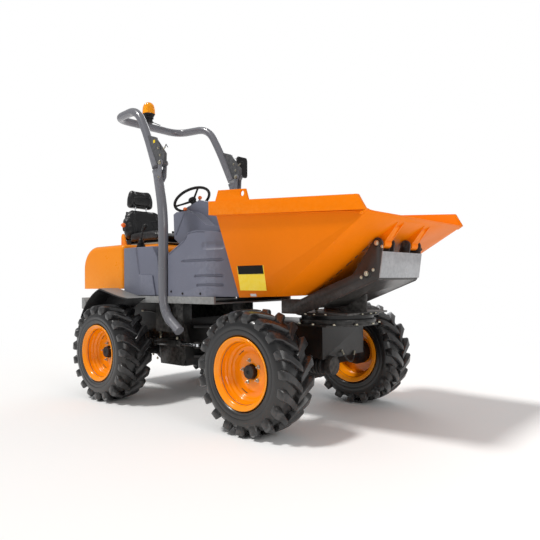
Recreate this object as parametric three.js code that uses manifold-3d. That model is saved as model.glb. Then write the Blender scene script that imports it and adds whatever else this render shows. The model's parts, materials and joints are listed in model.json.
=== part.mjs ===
// Articulated site dumper with a front swivel-tip skip, as a three.js scene graph.
// Millimetres. +X is forward, +Y is the driver's left, +Z is up, and the wheels stand on z = 0.
// While it is built, x = 0 lies midway between the axles. The last lines shift the whole
// machine so that x = 0 is midway between its front and rear ends.
import * as THREE from 'three';
import { ConvexGeometry } from 'three/addons/geometries/ConvexGeometry.js';
import { mergeVertices } from 'three/addons/utils/BufferGeometryUtils.js';
import Module from 'manifold-3d';

const wasm = await Module();
wasm.setup();

// Driving dimensions.

// clearances
const seatGap = 0.3;
const runGap = 6;

// wheels and axles
const wheelbase = 1580;
const track = 1190;
const tyreRadius = 380;
const tyreWidth = 268;
const tyreWall = 16;
const rimRadius = 219;
const rimHalfWidth = 130;
const rimSheet = 8;
const rimFlange = 24;
const discInset = 110;
const hubBore = 47;
const hubCapGap = 4;
const hubRadius = 92;
const axleTubeRadius = 58;
const differential = { half: 80, radius: 125 };
const hubCapReach = 34;
const hubEndLength = 70;
const wheelSides = 24;

// pivot between the two halves of the chassis
const pivotX = -150;
const pivotZ = 450;
const pivotPinRadius = 25;
const pivotBodyRadius = 64;
const pivotBodyHalf = 60;
const yokePlate = 20;
const yokeReach = 45;

// rear chassis
const rearEndX = -1490;
const rearFrameHalf = 240;
const rearFrontX = -300;
const bellyZ = 262;
const framePlate = 12;
const frameTopZ = 770;
const saddle = { half: 60, width: 30, topZ: 520 };
const outrigger = { x: [-470, -230], plate: 10, lowZ: 600, skirt: 8, skirtX: [-475, -140], skirtZ: 545 };
const bodyHalf = 420;
const sillZ = 783;
const sillHeight = 40;
const bumperX = -1560;
const bumperZ = 700;
const bumperHeight = 100;
const floorX = [-868, 250];
const sillHalf = 9;
const sillY = bodyHalf - 3;
const engine = { x: [-1330, -900], half: 190, z: [520, 800], headX: [-1200, -960], headHalf: 130,
  headZ: 1010, mountX: [-1290, -960], mountHalf: 25, mountZ: [560, 620] };

// skip and its cradle
const turntableX = 1000;
const turntableZ = 650;
const turntableRadius = 255;
const ringGap = 0.8;
const frontFrameHalf = 240;
const frontRearX = 40;
const frontEndX = 1050;
const tipX = 1458;
const tipZ = 1144;
const tipPinRadius = 16;
const cradleHalf = 240;
const cradlePlate = 12;
const innerEarHalf = 100;
const skipRearX = 428;
const skipRimZ = 1457;
const skipFrontX = 1567;
const skipFrontZ = 1375;
const skipLipX = 1615;
const skipLipZ = 1290;
const skipRimHalf = 630;
const skipRimSheet = 20;
const skipWall = 6;
const skipBottomZ = 825;
const skipBottomHalf = 500;
const skipBottomRearX = 576;
const rampFootX = 889;
const rimHeight = 90;
const hingeY = [135, 205];
const hingePlateHalf = 5;
const hingeRadius = 30;
const lugRadius = 26;

const tipBaseX = 1386;
const tipBaseZ = 967;
const tipShaftRadius = 18;
const tipEyeX = 860;
const tipEyeZ = 785;
const earRadius = 32;
const ringHeight = 31;
const ringBore = 150;
const ringStep = 14;
const ringFlange = { reach: 20, height: 8 };
const swingGap = 14;

// roll bar
const legBaseY = 424;
const legRadius = 38;
const hoopRadius = 34;
const foldX = -332;
const foldZ = 1861;
const foldY = 414.5;
const foldPlate = 28;
const earPlate = 10;
const earInset = 24;
const foldPinRadius = 9;
const legTopZ = 1815;
const legTopX = -405;
const legBend = 170;
const hoopBend = 130;
const hoopTopZ = 2380;
const legX = -330;
const legClearX = 18;
const legClearY = 8;
const legNotchX = [legX - legRadius - legClearX, legX + legRadius + legClearX];
const legNotchY = legBaseY - legRadius - legClearY;
const hoopRearX = -1085;
const mirrorHead = { x: -385, z: 1975, width: 120, height: 190, thickness: 26, arm: 30 };
const beaconZ = 2422;
const beaconLensZ = 2500;
const beaconTopZ = 2610;
const beaconBaseRadius = 45;
const beaconLensRadius = 60;

// driver's place and bodywork
const bodyZ = { tank: 1222, hood: 1258 };
const seatTopZ = 1600;
const seatHalf = 235;
const headrestHalf = 135;
const seatPan = { x: [-1090, -690], half: 180, height: 34 };
const seatHinge = { x: [-1170, -1087], half: 200, height: 60 };
const cushion = { x: [-1085, -640], topZ: 1383 };
const headrestPost = { x: -1220, y: 60, radius: 7, height: 40 };
const hoodHinge = { x: -1466, y: 150, z: 866, pin: 9 };
const hoodRearX = -1535;
const hoodLowZ = 880;
const hoodSheet = 6;
const hoodFrontHalf = 250;
const footHalf = 300;
const dashHalf = 200;
const columnHalf = 95;
const columnRadius = 26;
const wheelRing = 12;
const wheelHub = { radius: 34, low: 20, high: 12 };
const wheelSpokes = { turns: [105, 225, 345], drop: 8, radius: 9 };
const columnLength = 120;
const guardRadius = 530;
const guardSheet = 5;
const guardInnerY = bodyHalf + 6 + seatGap;
const guardOuterY = 600;
const guardFront = [[-672, 822], [-560, 808]];
const leverX = -745;
const leverY = -335;
const leverBoot = { radius: 32, height: 50 };
const leverStick = { radius: 8, lean: 40, height: 170 };
const leverGrip = { radius: 17, height: 200 };
const consoleTop = [[-271, 1150], [-69, 1250], [-32, 1300], [55, 1308]];
const steeringCentre = [-477, 0, 1635];
const steeringRadius = 156;
const wheelTilt = THREE.MathUtils.degToRad(33.5);

// steering linkage
const steerBaseX = -620;
const steerEyeX = -80;
const steerY = -290;
const tipCylinder = { barrel: 360, radius: 36, rod: 475, rodRadius: 20 };
const steeringCylinder = { barrel: 345, radius: 30, rod: 346, rodRadius: 16, pin: 12 };
const eyeHalf = 12;
const eyeGap = 0.6;
const barrelStart = 44;
const shaftRadius = 42;
const yokeHalf = 110;

// Colours.

const finishes = {
  orangePaint: { color: 0xf5820f, roughness: 0.35, metalness: 0 },
  greyPlastic: { color: 0x7c8091, roughness: 0.5, metalness: 0 },
  greyPaint: { color: 0x85868a, roughness: 0.4, metalness: 0 },
  darkPaint: { color: 0x3b393a, roughness: 0.5, metalness: 0 },
  blackPaint: { color: 0x161617, roughness: 0.55, metalness: 0 },
  lightPaint: { color: 0x9fa1a3, roughness: 0.3, metalness: 0 },
  blackRubber: { color: 0x1a1a1b, roughness: 0.9, metalness: 0 },
  blackPlastic: { color: 0x1c1c1e, roughness: 0.6, metalness: 0 },
  blackLeather: { color: 0x1d1e22, roughness: 0.45, metalness: 0 },
  amberLens: { color: 0xff9a10, roughness: 0.1, metalness: 0 },
  steel: { color: 0x8d9094, roughness: 0.3, metalness: 1 },
  castIron: { color: 0x2c2c2e, roughness: 0.7, metalness: 0.4 },
};

// Solids.

function solidOf(geometry) {
  const bare = geometry.clone();
  bare.deleteAttribute('normal');
  bare.deleteAttribute('uv');
  const merged = mergeVertices(bare, 1e-4);
  return new wasm.Manifold(new wasm.Mesh({
    numProp: 3,
    vertProperties: new Float32Array(merged.attributes.position.array),
    triVerts: new Uint32Array(merged.index.array),
  }));
}

function geometryOf(solid) {
  const mesh = solid.getMesh();
  const geometry = new THREE.BufferGeometry();
  geometry.setAttribute('position', new THREE.BufferAttribute(mesh.vertProperties, 3));
  geometry.setIndex(new THREE.BufferAttribute(mesh.triVerts, 1));
  geometry.computeVertexNormals();
  return geometry;
}

function union(...solids) {
  return solids.flat().reduce((all, one) => all.add(one));
}

// a box from its low and high corners
function block(x0, x1, y0, y1, z0, z1) {
  const geometry = new THREE.BoxGeometry(x1 - x0, y1 - y0, z1 - z0);
  geometry.translate((x0 + x1) / 2, (y0 + y1) / 2, (z0 + z1) / 2);
  return solidOf(geometry);
}

// a round bar between two points
function bar(from, to, radius, sides = 16) {
  const a = new THREE.Vector3(...from);
  const b = new THREE.Vector3(...to);
  const along = new THREE.Vector3().subVectors(b, a);
  const geometry = new THREE.CylinderGeometry(radius, radius, along.length(), sides);
  const up = new THREE.Vector3(0, 1, 0);
  const turn = new THREE.Quaternion().setFromUnitVectors(up, along.clone().normalize());
  geometry.applyQuaternion(turn);
  geometry.translate((a.x + b.x) / 2, (a.y + b.y) / 2, (a.z + b.z) / 2);
  return solidOf(geometry);
}

// an upright disc, lying flat on its lower face
function disc(x, y, z0, z1, radius, sides = 32) {
  return bar([x, y, z0], [x, y, z1], radius, sides);
}

function outline(points) {
  return new THREE.Shape(points.map(([u, v]) => new THREE.Vector2(u, v)));
}

// a side-view outline of (x, z) points, extruded from y0 to y1
function sidePlate(points, y0, y1) {
  const geometry = new THREE.ExtrudeGeometry(outline(points), {
    depth: y1 - y0, bevelEnabled: false, curveSegments: 8,
  });
  geometry.rotateX(Math.PI / 2);
  geometry.translate(0, y1, 0);
  return solidOf(geometry);
}

// a plan outline of (x, y) points, extruded from z0 to z1
function flatPlate(points, z0, z1) {
  const geometry = new THREE.ExtrudeGeometry(outline(points), {
    depth: z1 - z0, bevelEnabled: false,
  });
  geometry.translate(0, 0, z0);
  return solidOf(geometry);
}

function hull(points) {
  return solidOf(new ConvexGeometry(points.map((p) => new THREE.Vector3(...p))));
}

// both sides of a machine that is the same left and right
function bothSides(points) {
  return points.flatMap(([x, y, z]) => [[x, y, z], [x, -y, z]]);
}

// points along an arc in a side view
function arc(x, z, radius, fromDegrees, toDegrees, steps) {
  return Array.from({ length: steps + 1 }, (_, i) => {
    const angle = THREE.MathUtils.degToRad(
      fromDegrees + ((toDegrees - fromDegrees) * i) / steps);
    return [x + radius * Math.cos(angle), z + radius * Math.sin(angle)];
  });
}

// a centre line through points, with each corner rounded
function bentLine(points, bend) {
  const path = new THREE.CurvePath();
  const corners = points.map((p) => new THREE.Vector3(...p));
  let start = corners[0];
  for (let i = 1; i < corners.length - 1; i += 1) {
    const before = corners[i].clone().lerp(corners[i - 1],
      Math.min(0.5, bend / corners[i].distanceTo(corners[i - 1])));
    const after = corners[i].clone().lerp(corners[i + 1],
      Math.min(0.5, bend / corners[i].distanceTo(corners[i + 1])));
    if (start.distanceTo(before) > 1) {
      path.add(new THREE.LineCurve3(start, before));
    }
    path.add(new THREE.QuadraticBezierCurve3(before, corners[i], after));
    start = after;
  }
  path.add(new THREE.LineCurve3(start, corners.at(-1)));
  return path;
}

// a round tube or bar along a centre line
function bentBar(path, radius, steps, sides = 12) {
  const section = new THREE.Shape(Array.from({ length: sides }, (_, i) => {
    const angle = (2 * Math.PI * i) / sides;
    return new THREE.Vector2(radius * Math.cos(angle), radius * Math.sin(angle));
  }));
  return solidOf(new THREE.ExtrudeGeometry(section, { extrudePath: path, steps }));
}

// a body of revolution about the Y axis from (radius, y) points
function turned(profile, steps = wheelSides) {
  const points = profile.toReversed().map(([radius, y]) => new THREE.Vector2(radius, y));
  const geometry = new THREE.LatheGeometry([...points, points[0]], steps);
  geometry.rotateY(Math.PI / 2);
  return solidOf(geometry);
}

function piece(name, solid, finish) {
  const mesh = new THREE.Mesh(
    geometryOf(solid), new THREE.MeshStandardMaterial(finishes[finish]));
  mesh.name = name;
  return mesh;
}

const sides = { left: 1, right: -1 };

// Wheels.

// Both profiles run round a closed section, with +y on the wheel's outer face.
function tyreProfile() {
  const half = tyreWidth / 2;
  const bead = rimRadius - rimFlange + 0.5;
  const outer = [
    [bead, 111], [bead + 14, 113], [bead + 56, half - 3], [300, half], [352, 120],
    [tyreRadius, 84],
  ];
  const shell = [...outer, ...outer.toReversed().map(([radius, y]) => [radius, -y])];
  const inner = [
    [tyreRadius - 2 * tyreWall, 80], [300, half - tyreWall], [bead + 18, 94], [bead, 90],
  ];
  const inside = [...inner.toReversed().map(([radius, y]) => [radius, -y]), ...inner];
  return [...shell, ...inside];
}

function rimProfile() {
  const barrel = rimRadius - rimFlange;
  const well = barrel - 26;
  const face = rimHalfWidth;
  const discY = face - discInset;
  const outside = [
    [rimRadius, face], [rimRadius, face - 9], [barrel, face - 16], [barrel, 62],
    [well, 42], [well, -52], [barrel, -72], [barrel, 16 - face],
    [rimRadius, 9 - face], [rimRadius, -face],
  ];
  const inside = [
    [barrel - rimSheet, -face + 6], [barrel - rimSheet, -72],
    [well - rimSheet, -52], [well - rimSheet, discY - rimSheet],
    [hubBore, discY - rimSheet], [hubBore, discY],
    [well - rimSheet, discY], [well - rimSheet, 42], [barrel - rimSheet, 62],
    [barrel - rimSheet, face - 6],
  ];
  return [...outside, ...inside];
}

function wheelPieces(name, x, side) {
  const rim = piece(`wheel_rim_${name}`, turned(rimProfile()), 'orangePaint');
  const tyre = piece(`tyre_${name}`, turned(tyreProfile()), 'blackRubber');
  const wheel = new THREE.Group();
  wheel.add(rim, tyre);
  wheel.position.set(x, (side * track) / 2, tyreRadius);
  wheel.rotation.z = side > 0 ? 0 : Math.PI;
  return wheel;
}

// Axles.

// One beam with a hub flange behind each wheel disc and a hub cap through its bore.
function axle(x) {
  const discY = track / 2 + rimHalfWidth - discInset;
  const flangeY = discY - rimSheet - seatGap;
  const beam = bar([x, -flangeY, tyreRadius], [x, flangeY, tyreRadius], axleTubeRadius, 20);
  const casing = bar([x, -differential.half, tyreRadius], [x, differential.half, tyreRadius],
    differential.radius, 20);
  const ends = Object.values(sides).flatMap((side) => [
    bar([x, side * (flangeY - hubEndLength), tyreRadius], [x, side * flangeY, tyreRadius],
      hubRadius, 24),
    bar([x, side * flangeY, tyreRadius], [x, side * (discY + hubCapReach), tyreRadius],
      hubBore - hubCapGap, 20),
  ]);
  return union(beam, casing, ends);
}

// Rear chassis.

function rearFrame() {
  const axleX = -wheelbase / 2;
  const side = [
    [rearEndX, 520], [axleX - 190, 470], [axleX + 150, 450], [-610, bellyZ],
    [rearFrontX - 20, bellyZ], [rearFrontX, bellyZ + 60], [rearFrontX, frameTopZ],
    [rearEndX, frameTopZ],
  ];
  const inner = rearFrameHalf - framePlate;
  const plates = [
    sidePlate(side, inner, rearFrameHalf),
    sidePlate(side, -rearFrameHalf, -inner),
  ];
  const cross = [
    block(rearFrontX - framePlate, rearFrontX, -inner, inner, bellyZ, 640),
    block(rearEndX, rearEndX + framePlate, -inner, inner, 520, frameTopZ),
    block(-600, rearFrontX, -inner, inner, bellyZ, bellyZ + framePlate),
    block(-612, -600, -inner, inner, bellyZ, 520),
  ];
  const saddleZ = tyreRadius + axleTubeRadius + seatGap;
  const saddles = Object.values(sides).map((s) => block(
    axleX - saddle.half, axleX + saddle.half, s * rearFrameHalf - saddle.width,
    s * rearFrameHalf + saddle.width, saddleZ, saddle.topZ));
  const yokes = [pivotZ + yokeHalf, pivotZ - yokeHalf - yokePlate].map((z) => flatPlate([
    [rearFrontX - 5, 150], [pivotX, pivotBodyHalf], [pivotX + yokeReach, 30],
    [pivotX + yokeReach, -30], [pivotX, -pivotBodyHalf], [rearFrontX - 5, -150],
  ], z, z + yokePlate));
  const pin = disc(pivotX, 0, pivotZ - yokeHalf - 40, pivotZ + yokeHalf + 40,
    pivotPinRadius, 20);
  return union(plates, cross, saddles, yokes, pin, outriggers(), steeringBracket(),
    hoodHinges());
}

// Outriggers on the frame's sides carry the roll bar, the sills and the steps.
function outriggers() {
  return Object.values(sides).flatMap((s) => {
    const y0 = s * (rearFrameHalf - framePlate / 2);
    const y1 = s * legNotchY;
    const skirtY = y1 + s * outrigger.skirt;
    const half = outrigger.plate / 2;
    return [
      ...outrigger.x.map((x) => block(
        x - half, x + half, Math.min(y0, y1), Math.max(y0, y1), outrigger.lowZ, frameTopZ)),
      block(...outrigger.skirtX, Math.min(y1, skirtY), Math.max(y1, skirtY),
        outrigger.skirtZ, frameTopZ),
      block(rearFrontX - framePlate / 2, outrigger.x[1] + half, y0 - framePlate / 2,
        y0 + framePlate / 2, outrigger.lowZ, frameTopZ),
    ];
  });
}

// Uprights behind the engine, each with a stub pin for the hood's lug.
function hoodHinges() {
  return Object.values(sides).flatMap((s) => [
    block(hoodHinge.x - 16, hoodHinge.x + 16, s * hoodHinge.y - 6, s * hoodHinge.y + 6,
      frameTopZ - 20, hoodHinge.z + 16),
    block(rearEndX, hoodHinge.x + 16, s * hoodHinge.y - 6, s * hoodHinge.y + 6,
      frameTopZ - 60, frameTopZ),
    bar([hoodHinge.x, s * hoodHinge.y, hoodHinge.z],
      [hoodHinge.x, s * (hoodHinge.y + 30), hoodHinge.z], hoodHinge.pin, 12),
  ]);
}

function steeringBracket() {
  const y = steerY;
  const plates = [-1, 1].map((s) => {
    const z = pivotZ + s * (eyeHalf + eyeGap);
    return block(steerBaseX - 30, steerBaseX + 28, y - 28, -rearFrameHalf + 6,
      Math.min(z, z + s * 12), Math.max(z, z + s * 12));
  });
  return [...plates, disc(steerBaseX, y, pivotZ - 40, pivotZ + 40, steeringCylinder.pin, 16)];
}

// A plain block of the engine's size, on two mounts between the frame's sides.
function engineBlock() {
  const mountHalf = rearFrameHalf - framePlate;
  return union(
    block(...engine.x, -engine.half, engine.half, ...engine.z),
    block(...engine.headX, -engine.headHalf, engine.headHalf, engine.z[1], engine.headZ),
    engine.mountX.map((x) => block(
      x - engine.mountHalf, x + engine.mountHalf, seatGap - mountHalf, mountHalf - seatGap,
      ...engine.mountZ)));
}

function rearBumper() {
  return union(
    sidePlate([
      [bumperX, bumperZ], [rearEndX - seatGap, bumperZ - 20],
      [rearEndX - seatGap, bumperZ + 60], [bumperX, bumperZ + bumperHeight],
    ], -bodyHalf, bodyHalf));
}

// A quarter arch over the rear wheel runs on forward as a sloping flap, and a wall
// closes its inner side.
function mudguard(side) {
  const x = -wheelbase / 2;
  const outer = [...arc(x, tyreRadius, guardRadius, 176, 108, 8), ...guardFront];
  const inner = [
    ...guardFront.toReversed().map(([u, v]) => [u, v - guardSheet]),
    ...arc(x, tyreRadius, guardRadius - guardSheet, 108, 176, 8),
  ];
  const skin = sidePlate([...outer, ...inner], guardInnerY, guardOuterY);
  const wall = sidePlate(outer, guardInnerY, guardInnerY + guardSheet);
  const shell = union(skin, wall);
  return side > 0 ? shell : shell.mirror([0, 1, 0]);
}

function sideTank(side) {
  const top = bodyZ.tank;
  const profile = [
    [-870, sillZ + sillHeight + seatGap], [-870, top], [-500, top],
    [-430, top - 90], [legNotchX[0], sillZ + sillHeight + seatGap],
  ];
  const y0 = hoodFrontHalf + 8;
  const shell = sidePlate(profile, y0, bodyHalf);
  const step = sidePlate([
    [-640, 700], [-640, 981], [-660, 1000], [-700, top - 20], [-700, top + 50],
    [-300, top + 50], [-300, 700],
  ], bodyHalf - 14, bodyHalf + 10);
  const tank = shell.subtract(step);
  return side > 0 ? tank : tank.mirror([0, 1, 0]);
}

// The floor spans both sills and is folded up behind the driver's feet.
function floorPlate() {
  const z0 = frameTopZ + seatGap;
  const deck = block(...floorX, -sillY, sillY, z0, sillZ);
  const sills = Object.values(sides).map((s) => block(
    ...floorX, s * sillY - sillHalf, s * sillY + sillHalf, z0, sillZ + sillHeight));
  const notches = Object.values(sides).map((s) => block(
    ...legNotchX, Math.min(s * legNotchY, s * (bodyHalf + 60)),
    Math.max(s * legNotchY, s * (bodyHalf + 60)), 700, 900));
  return union(deck, sills).subtract(union(notches));
}

// The space the skip sweeps as it swings about the turntable, with its clearance.
function skipSwing() {
  const reach = (x, halfWidth) => Math.hypot(turntableX - x, halfWidth) + swingGap;
  const low = reach(skipBottomRearX, skipBottomHalf);
  const high = reach(skipRearX, skipRimHalf);
  const profile = [
    [0, 600], [low, 600], [low, skipBottomZ], [high - 20, skipRimZ - rimHeight],
    [high, skipRimZ - rimHeight - 30], [high, skipRimZ + 200], [0, skipRimZ + 200],
  ].map(([radius, z]) => new THREE.Vector2(radius, z));
  const geometry = new THREE.LatheGeometry([...profile, profile[0]], 72);
  geometry.rotateX(Math.PI / 2);
  geometry.translate(turntableX, 0, 0);
  return solidOf(geometry);
}

function consoleBody() {
  const base = sillZ + sillHeight + seatGap;
  const body = sidePlate([
    [-330, base], [-320, 1110], ...consoleTop, [300, 1281], [460, base],
  ], -bodyHalf, bodyHalf);
  const corners = flatPlate([
    [-400, -legNotchY], [legNotchX[1], -legNotchY], [legNotchX[1], -bodyHalf],
    [160, -bodyHalf], [230, -bodyHalf + 20], [300, -bodyHalf + 60],
    [420, -bodyHalf + 120], [420, bodyHalf - 120], [300, bodyHalf - 60],
    [230, bodyHalf - 20], [160, bodyHalf], [legNotchX[1], bodyHalf],
    [legNotchX[1], legNotchY], [-400, legNotchY],
  ], 700, 1400);
  const footwell = sidePlate([
    [-400, base - 20], [-400, 1400], [-340, 1400], [-200, 1120], [-120, base - 20],
  ], -footHalf, footHalf);
  return body.intersect(corners).subtract(skipSwing()).subtract(footwell);
}

// A low block across the console, with the taller cover of the steering column on it.
function dash() {
  const seat = consoleTop.map(([x, z]) => [x, z + 2 * seatGap]);
  const shoulders = sidePlate([
    ...seat, [153, 1336], [-82, 1373], [-215, 1470], [-290, 1505], [-440, 1506],
    [-479, 1490], [-471, 1290],
  ], -dashHalf, dashHalf);
  const cover = sidePlate([
    [-470, 1480], [-470, 1545], [-273, 1600], [-150, 1560], [60, 1352], [60, 1330],
  ], -columnHalf, columnHalf);
  return union(shoulders, cover).subtract(skipSwing());
}

function steeringColumn() {
  const top = steeringCentre;
  const hubDrop = wheelHub.low + 2 * seatGap;
  const below = (drop) => [
    top[0] + drop * Math.sin(wheelTilt), 0, top[2] - drop * Math.cos(wheelTilt)];
  const seat = dash();
  return bar(below(columnLength), below(hubDrop), columnRadius).subtract(seat.translate([0, 0, seatGap]))
    .subtract(seat);
}

function steeringWheel() {
  const rim = solidOf(new THREE.TorusGeometry(steeringRadius, wheelRing, 8, 28));
  const hub = disc(0, 0, -wheelHub.low, wheelHub.high, wheelHub.radius, 16);
  const spokes = wheelSpokes.turns.map((degrees) => {
    const angle = THREE.MathUtils.degToRad(degrees);
    return bar([0, 0, -wheelSpokes.drop], [
      steeringRadius * Math.cos(angle), steeringRadius * Math.sin(angle), 0,
    ], wheelSpokes.radius, 8);
  });
  return union(rim, hub, spokes);
}

function controlLever() {
  const z = bodyZ.tank;
  return union(
    disc(leverX, leverY, z + seatGap, z + leverBoot.height, leverBoot.radius, 16),
    bar([leverX, leverY, z + leverBoot.height - 10],
      [leverX + leverStick.lean, leverY, z + leverStick.height], leverStick.radius, 8),
    bar([leverX + leverStick.lean - 6, leverY, z + leverStick.height - 20],
      [leverX + leverStick.lean + 10, leverY, z + leverGrip.height], leverGrip.radius, 12));
}

// Each leg stands on its outrigger and ends at the hoop's fold.
function rollBarLeg(side) {
  const leg = bentBar(bentLine([
    [-135, side * legBaseY, 564], [legX, side * legBaseY, 700],
    [legX + 8, side * legBaseY, 1480], [legTopX, side * foldY, legTopZ],
  ], legBend), legRadius, 22);
  const ear = (offset) => sidePlate([
    [legTopX + 5, legTopZ - 150], [foldX + 5, foldZ - 110],
    ...arc(foldX, foldZ, 26, -60, 150, 6), [foldX - 30, foldZ - 40],
    [legTopX - 5, legTopZ - 40],
  ], side * foldY + offset - earPlate / 2, side * foldY + offset + earPlate / 2);
  const pinHalf = earInset + earPlate - 2;
  const pin = bar([foldX, side * foldY - pinHalf, foldZ],
    [foldX, side * foldY + pinHalf, foldZ], foldPinRadius, 12);
  return union(leg, ear(-earInset), ear(earInset), pin);
}

function hoopLine() {
  const line = (side) => [
    [legTopX - 13, side * foldY, legTopZ + 24], [-560, side * 400, 2140],
    [-700, side * 394, hoopTopZ - 12], [hoopRearX, side * 345, hoopTopZ],
  ];
  return bentLine([...line(1), ...line(-1).toReversed()], hoopBend);
}

function rollBarHoop() {
  const hoop = bentBar(hoopLine(), hoopRadius, 48, 10);
  const plates = Object.values(sides).map((side) => hingePlate(side));
  const stay = block(hoopRearX - 20, hoopRearX + 20, -20, 20, hoopTopZ, beaconZ);
  return union(hoop, plates, stay);
}

// A triangular plate on the front of each hoop end holds the fold's bushing.
function hingePlate(side) {
  const y = side * foldY;
  const plate = sidePlate([
    [-505, 2110], [-430, 2085], [-300, 1935], ...arc(foldX, foldZ, 30, 20, -110, 6),
    [-365, foldZ - 8], [-440, 1900],
  ], y - foldPlate / 2, y + foldPlate / 2);
  return plate.subtract(bar([foldX, y - foldPlate, foldZ], [foldX, y + foldPlate, foldZ],
    foldPinRadius + 0.9, 12));
}

function beaconBase() {
  return disc(hoopRearX, 0, beaconZ + seatGap, beaconLensZ, beaconBaseRadius, 20);
}

function beaconLens() {
  const low = beaconLensZ + seatGap;
  const profile = [
    [0, low], [beaconLensRadius, low], [beaconLensRadius, low + 30],
    [beaconLensRadius - 8, beaconTopZ - 32], [beaconLensRadius / 2, beaconTopZ - 8],
    [0, beaconTopZ],
  ].map(([radius, z]) => new THREE.Vector2(radius, z));
  const geometry = new THREE.LatheGeometry(profile, 20);
  geometry.rotateX(Math.PI / 2);
  geometry.translate(hoopRearX, 0, 0);
  return solidOf(geometry);
}

function mirror() {
  const plateY = foldY + foldPlate / 2 + seatGap;
  const { x, z, width, height, thickness, arm } = mirrorHead;
  return union(
    bar([x, plateY, z], [x, plateY + 2 * arm, z], 7, 8),
    block(x - thickness / 2, x + thickness / 2, plateY + arm, plateY + arm + width,
      z - height / 2, z + height / 2));
}

// Engine hood and seat.

function engineHood() {
  const shell = hoodShell(0).subtract(hoodShell(hoodSheet));
  const lugs = Object.values(sides).map((s) => {
    const y = s * (hoodHinge.y + 18);
    const lug = sidePlate([
      [hoodRearX + 3, hoodLowZ + 10], ...arc(hoodHinge.x, hoodHinge.z, 18, 250, 430, 8),
      [hoodRearX + 3, hoodLowZ + 60],
    ], y - 6, y + 6);
    return lug.subtract(bar([hoodHinge.x, y - 10, hoodHinge.z],
      [hoodHinge.x, y + 10, hoodHinge.z], hoodHinge.pin + 0.9, 12));
  });
  return union(shell, lugs);
}

// The hood's full-width rear and its narrower front, each inset by the sheet's thickness.
function hoodShell(inset) {
  const low = hoodLowZ - (inset > 0 ? 50 : 0);
  const top = bodyZ.hood - inset;
  const rear = hoodRearX + inset;
  const back = sidePlate([
    [-880 - inset, low], [-880 - inset, top], [-1330, top],
    ...arc(rear + 200, top - 200, 200, 90, 180, 6).slice(1), [rear, low],
  ], -bodyHalf + inset, bodyHalf - inset);
  const front = sidePlate([
    [-900, low], [-900, top], [-640, top], [-560 - inset, top - 60], [-560 - inset, low],
  ], -hoodFrontHalf + inset, hoodFrontHalf - inset);
  return union(back, front);
}

function seatBase() {
  return union(
    block(...seatPan.x, -seatPan.half, seatPan.half, bodyZ.hood + seatGap,
      bodyZ.hood + seatPan.height),
    block(...seatHinge.x, -seatHinge.half, seatHinge.half, bodyZ.hood + seatGap,
      bodyZ.hood + seatHinge.height));
}

function seatCushion() {
  return block(...cushion.x, -seatHalf, seatHalf, bodyZ.hood + seatPan.height + seatGap,
    cushion.topZ);
}

function seatBack() {
  const low = bodyZ.hood + seatHinge.height + seatGap;
  return sidePlate([
    [-1190, low], [-1088, low], [-1088, low + 70], [-1140, seatTopZ], [-1250, seatTopZ],
  ], -seatHalf, seatHalf);
}

function headrest() {
  const pad = sidePlate([
    [-1290, seatTopZ + 20], [-1185, seatTopZ + 20], [-1190, 1800], [-1280, 1810],
  ], -headrestHalf, headrestHalf);
  const posts = Object.values(sides).map((s) => disc(
    headrestPost.x, s * headrestPost.y, seatTopZ + seatGap, seatTopZ + headrestPost.height,
    headrestPost.radius, 8));
  return union(pad, posts);
}

// Front chassis.

function pivotBlock() {
  const bearing = pivotZ + yokeHalf - runGap;
  const low = pivotZ - yokeHalf + runGap;
  const body = disc(pivotX, 0, low, bearing, pivotBodyRadius, 24);
  const neck = block(pivotX, pivotX + 110, -pivotBodyHalf, pivotBodyHalf, pivotZ - 70,
    pivotZ + 70);
  const shaft = bar([pivotX + 80, 0, pivotZ], [frontRearX + 60, 0, pivotZ], shaftRadius, 24);
  const arms = [-1, 1].map((s) => {
    const z = pivotZ + s * (eyeHalf + eyeGap);
    return flatPlate([
      [pivotX + 20, -40], [pivotX + 100, -40], [steerEyeX + 34, steerY],
      [steerEyeX + 20, steerY - 26], [steerEyeX - 20, steerY - 26],
      [steerEyeX - 34, steerY],
    ], Math.min(z, z + s * 12), Math.max(z, z + s * 12));
  });
  const bore = disc(pivotX, 0, low - 10, bearing + 10, pivotPinRadius + 1.2, 20);
  return union(body, neck, shaft, arms).subtract(bore);
}

function frontFrame() {
  const x = wheelbase / 2;
  const inner = frontFrameHalf - framePlate;
  const top = turntableZ - seatGap;
  const side = [
    [frontRearX, 400], [frontRearX + 120, 400], [x - 120, 470], [frontEndX, 430],
    [frontEndX, top - 12], [frontRearX, top - 12],
  ];
  const saddleZ = tyreRadius + axleTubeRadius + seatGap;
  const deck = flatPlate([
    [frontRearX + 40, -frontFrameHalf], [x + 310, -270], [x + 450, -120],
    [x + 450, 120], [x + 310, 270], [frontRearX + 40, frontFrameHalf],
  ], top - 12, top);
  const housing = bar([frontRearX - 20, 0, pivotZ], [frontRearX + 60, 0, pivotZ], 75, 24);
  const bore = bar([frontRearX - 30, 0, pivotZ], [frontRearX + 90, 0, pivotZ],
    shaftRadius + 1, 24);
  return union(
    sidePlate(side, inner, frontFrameHalf),
    sidePlate(side, -frontFrameHalf, -inner),
    block(frontEndX - framePlate, frontEndX, -inner, inner, 430, top - 12),
    block(frontRearX, frontRearX + framePlate, -inner, inner, 360, top - 12),
    deck,
    Object.values(sides).map((s) => block(
      x - saddle.half, x + saddle.half, s * (inner + 6) - saddle.width,
      s * (inner + 6) + saddle.width, saddleZ, saddle.topZ)),
    housing,
  ).subtract(bore);
}

function turntableBase() {
  return disc(turntableX, 0, turntableZ, turntableZ + ringHeight, turntableRadius)
    .subtract(disc(turntableX, 0, turntableZ - 5, turntableZ + 2 * ringHeight, ringBore, 24));
}

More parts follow.
